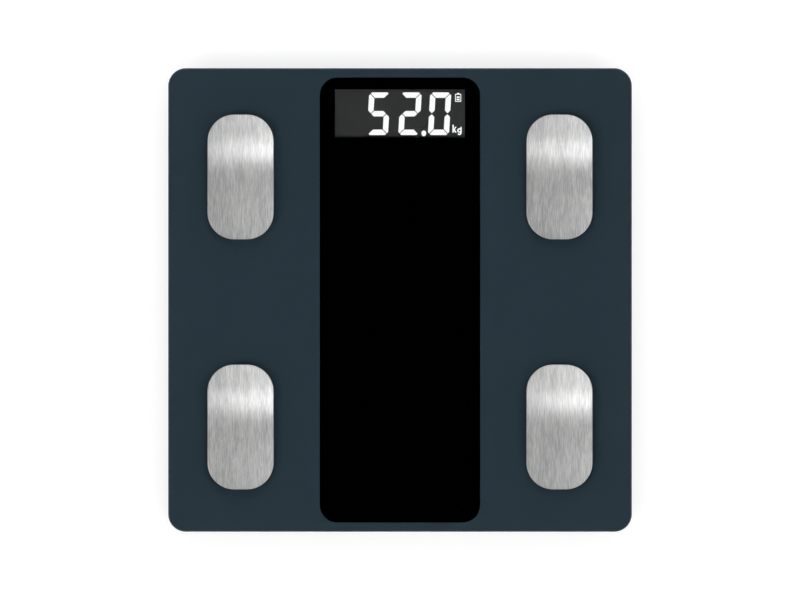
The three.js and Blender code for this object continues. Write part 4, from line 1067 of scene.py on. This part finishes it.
def add_lamp(name, place, target, width, height, watts):
    bpy.ops.object.light_add(type="AREA", location=place)
    lamp = bpy.context.object
    lamp.name = name
    lamp.data.shape = "RECTANGLE"
    lamp.data.size, lamp.data.size_y, lamp.data.energy = width, height, watts
    lamp.visible_camera = False
    bpy.context.view_layer.update()
    lamp.rotation_euler = (Vector(target) - lamp.location).to_track_quat("-Z", "Y").to_euler()
    return lamp


def group_electrodes(name, corners):
    """The electrodes at some corners, as a collection that a lamp's light can be kept to."""
    group = bpy.data.collections.new(name)
    for corner in corners:
        group.objects.link(bpy.data.objects["brushed_electrode_" + corner])
    return group


def fade_rim(lamp):
    """Fades a softbox from its middle to nothing at its rim, so that the glass mirrors no hard edge."""
    lamp.data.use_nodes = True
    tree = lamp.data.node_tree
    tree.nodes.clear()
    face = add_node(tree, "ShaderNodeNewGeometry")
    away = add_node(tree, "ShaderNodeVectorMath", {"operation": "DISTANCE"}, {
        0: face.outputs["Parametric"], 1: (0.5, 0.5, 0.0)})
    start, end = RIM_FADE
    fade = add_node(tree, "ShaderNodeMapRange", {"interpolation_type": "SMOOTHSTEP"}, {
        "Value": away.outputs["Value"], "From Min": start, "From Max": end, "To Min": 1.0, "To Max": 0.0})
    glow = add_node(tree, "ShaderNodeEmission", inputs={"Strength": fade.outputs["Result"]})
    add_node(tree, "ShaderNodeOutputLight", inputs={"Surface": glow.outputs[0]})


def add_softbox(name, place, watts):
    softbox = add_lamp(name, place, (0, 0, 0), KEY_SIZE, KEY_SIZE, watts)
    fade_rim(softbox)
    return softbox


def add_key_lamps():
    """Three softboxes, each with a twin that only the steel receives, since steel shows nothing but gleam."""
    electrodes = group_electrodes("electrodes", CORNERS)
    tilt = math.radians(KEY_TILT)
    # One lamp of these watts would by itself show a colour on the level as it is written.
    full_watts = math.pi ** 2 * KEY_DISTANCE ** 2 / math.cos(tilt)
    watts = KEY_SHARE * full_watts / len(KEY_TURNS) / FADE_SHARE
    for number, turn in enumerate(KEY_TURNS, 1):
        angle = math.radians(turn)
        place = KEY_DISTANCE * Vector((math.sin(tilt) * math.sin(angle), -math.sin(tilt) * math.cos(angle),
                                       math.cos(tilt)))
        softbox = add_softbox(f"softbox_{number}", place, watts)
        softbox.visible_glossy = False      # it would veil the glass
        gleam = add_softbox(f"steel_softbox_{number}", GLEAM_DISTANCE * place, GLEAM_SHARE * watts)
        gleam.light_linking.receiver_collection = electrodes


def add_electrode_strips():
    """Slim strip lamps over each electrode, which draw the bright band across its brushing."""
    for corner in CORNERS:
        electrode = group_electrodes("electrode_" + corner, (corner,))
        low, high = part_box("electrode_" + corner)
        for number, (place, shift, height, width, watts) in enumerate(STRIPS, 1):
            x = (low.x + high.x) / 2 + shift
            y = low.y + (high.y - low.y) * place
            lamp = add_lamp(f"strip_{corner}_{number}", (x, y, high.z + height), (x, y, 0),
                            STRIP_LENGTH, width, watts)
            lamp.light_linking.receiver_collection = electrode


def add_world():
    """Pale walls all round, and a dark ceiling above them."""
    world = bpy.data.worlds.new("studio")
    bpy.context.scene.world = world
    world.use_nodes = True
    tree = world.node_tree
    tree.nodes.clear()
    place = add_node(tree, "ShaderNodeTexCoord")
    height = add_node(tree, "ShaderNodeSeparateXYZ", inputs={"Vector": place.outputs["Generated"]})
    walls = colour_range(tree, height.outputs["Z"], WALL_STOPS)
    light = add_node(tree, "ShaderNodeBackground", inputs={"Color": walls, "Strength": 1.0})
    add_node(tree, "ShaderNodeOutputWorld", inputs={"Surface": light.outputs[0]})


def add_floor(material):
    """The white paper that the scale stands on, far past what is seen of it."""
    deselect()
    bpy.ops.mesh.primitive_plane_add(size=2 * FLOOR_RADIUS, location=(0, 0, 0))
    floor = bpy.context.object
    floor.name = "paper_floor"
    floor.data.materials.append(material)


build()
add_floor(studio_floor())
add_key_lamps()
add_electrode_strips()
add_world()
bpy.context.scene.view_settings.view_transform = "Standard"
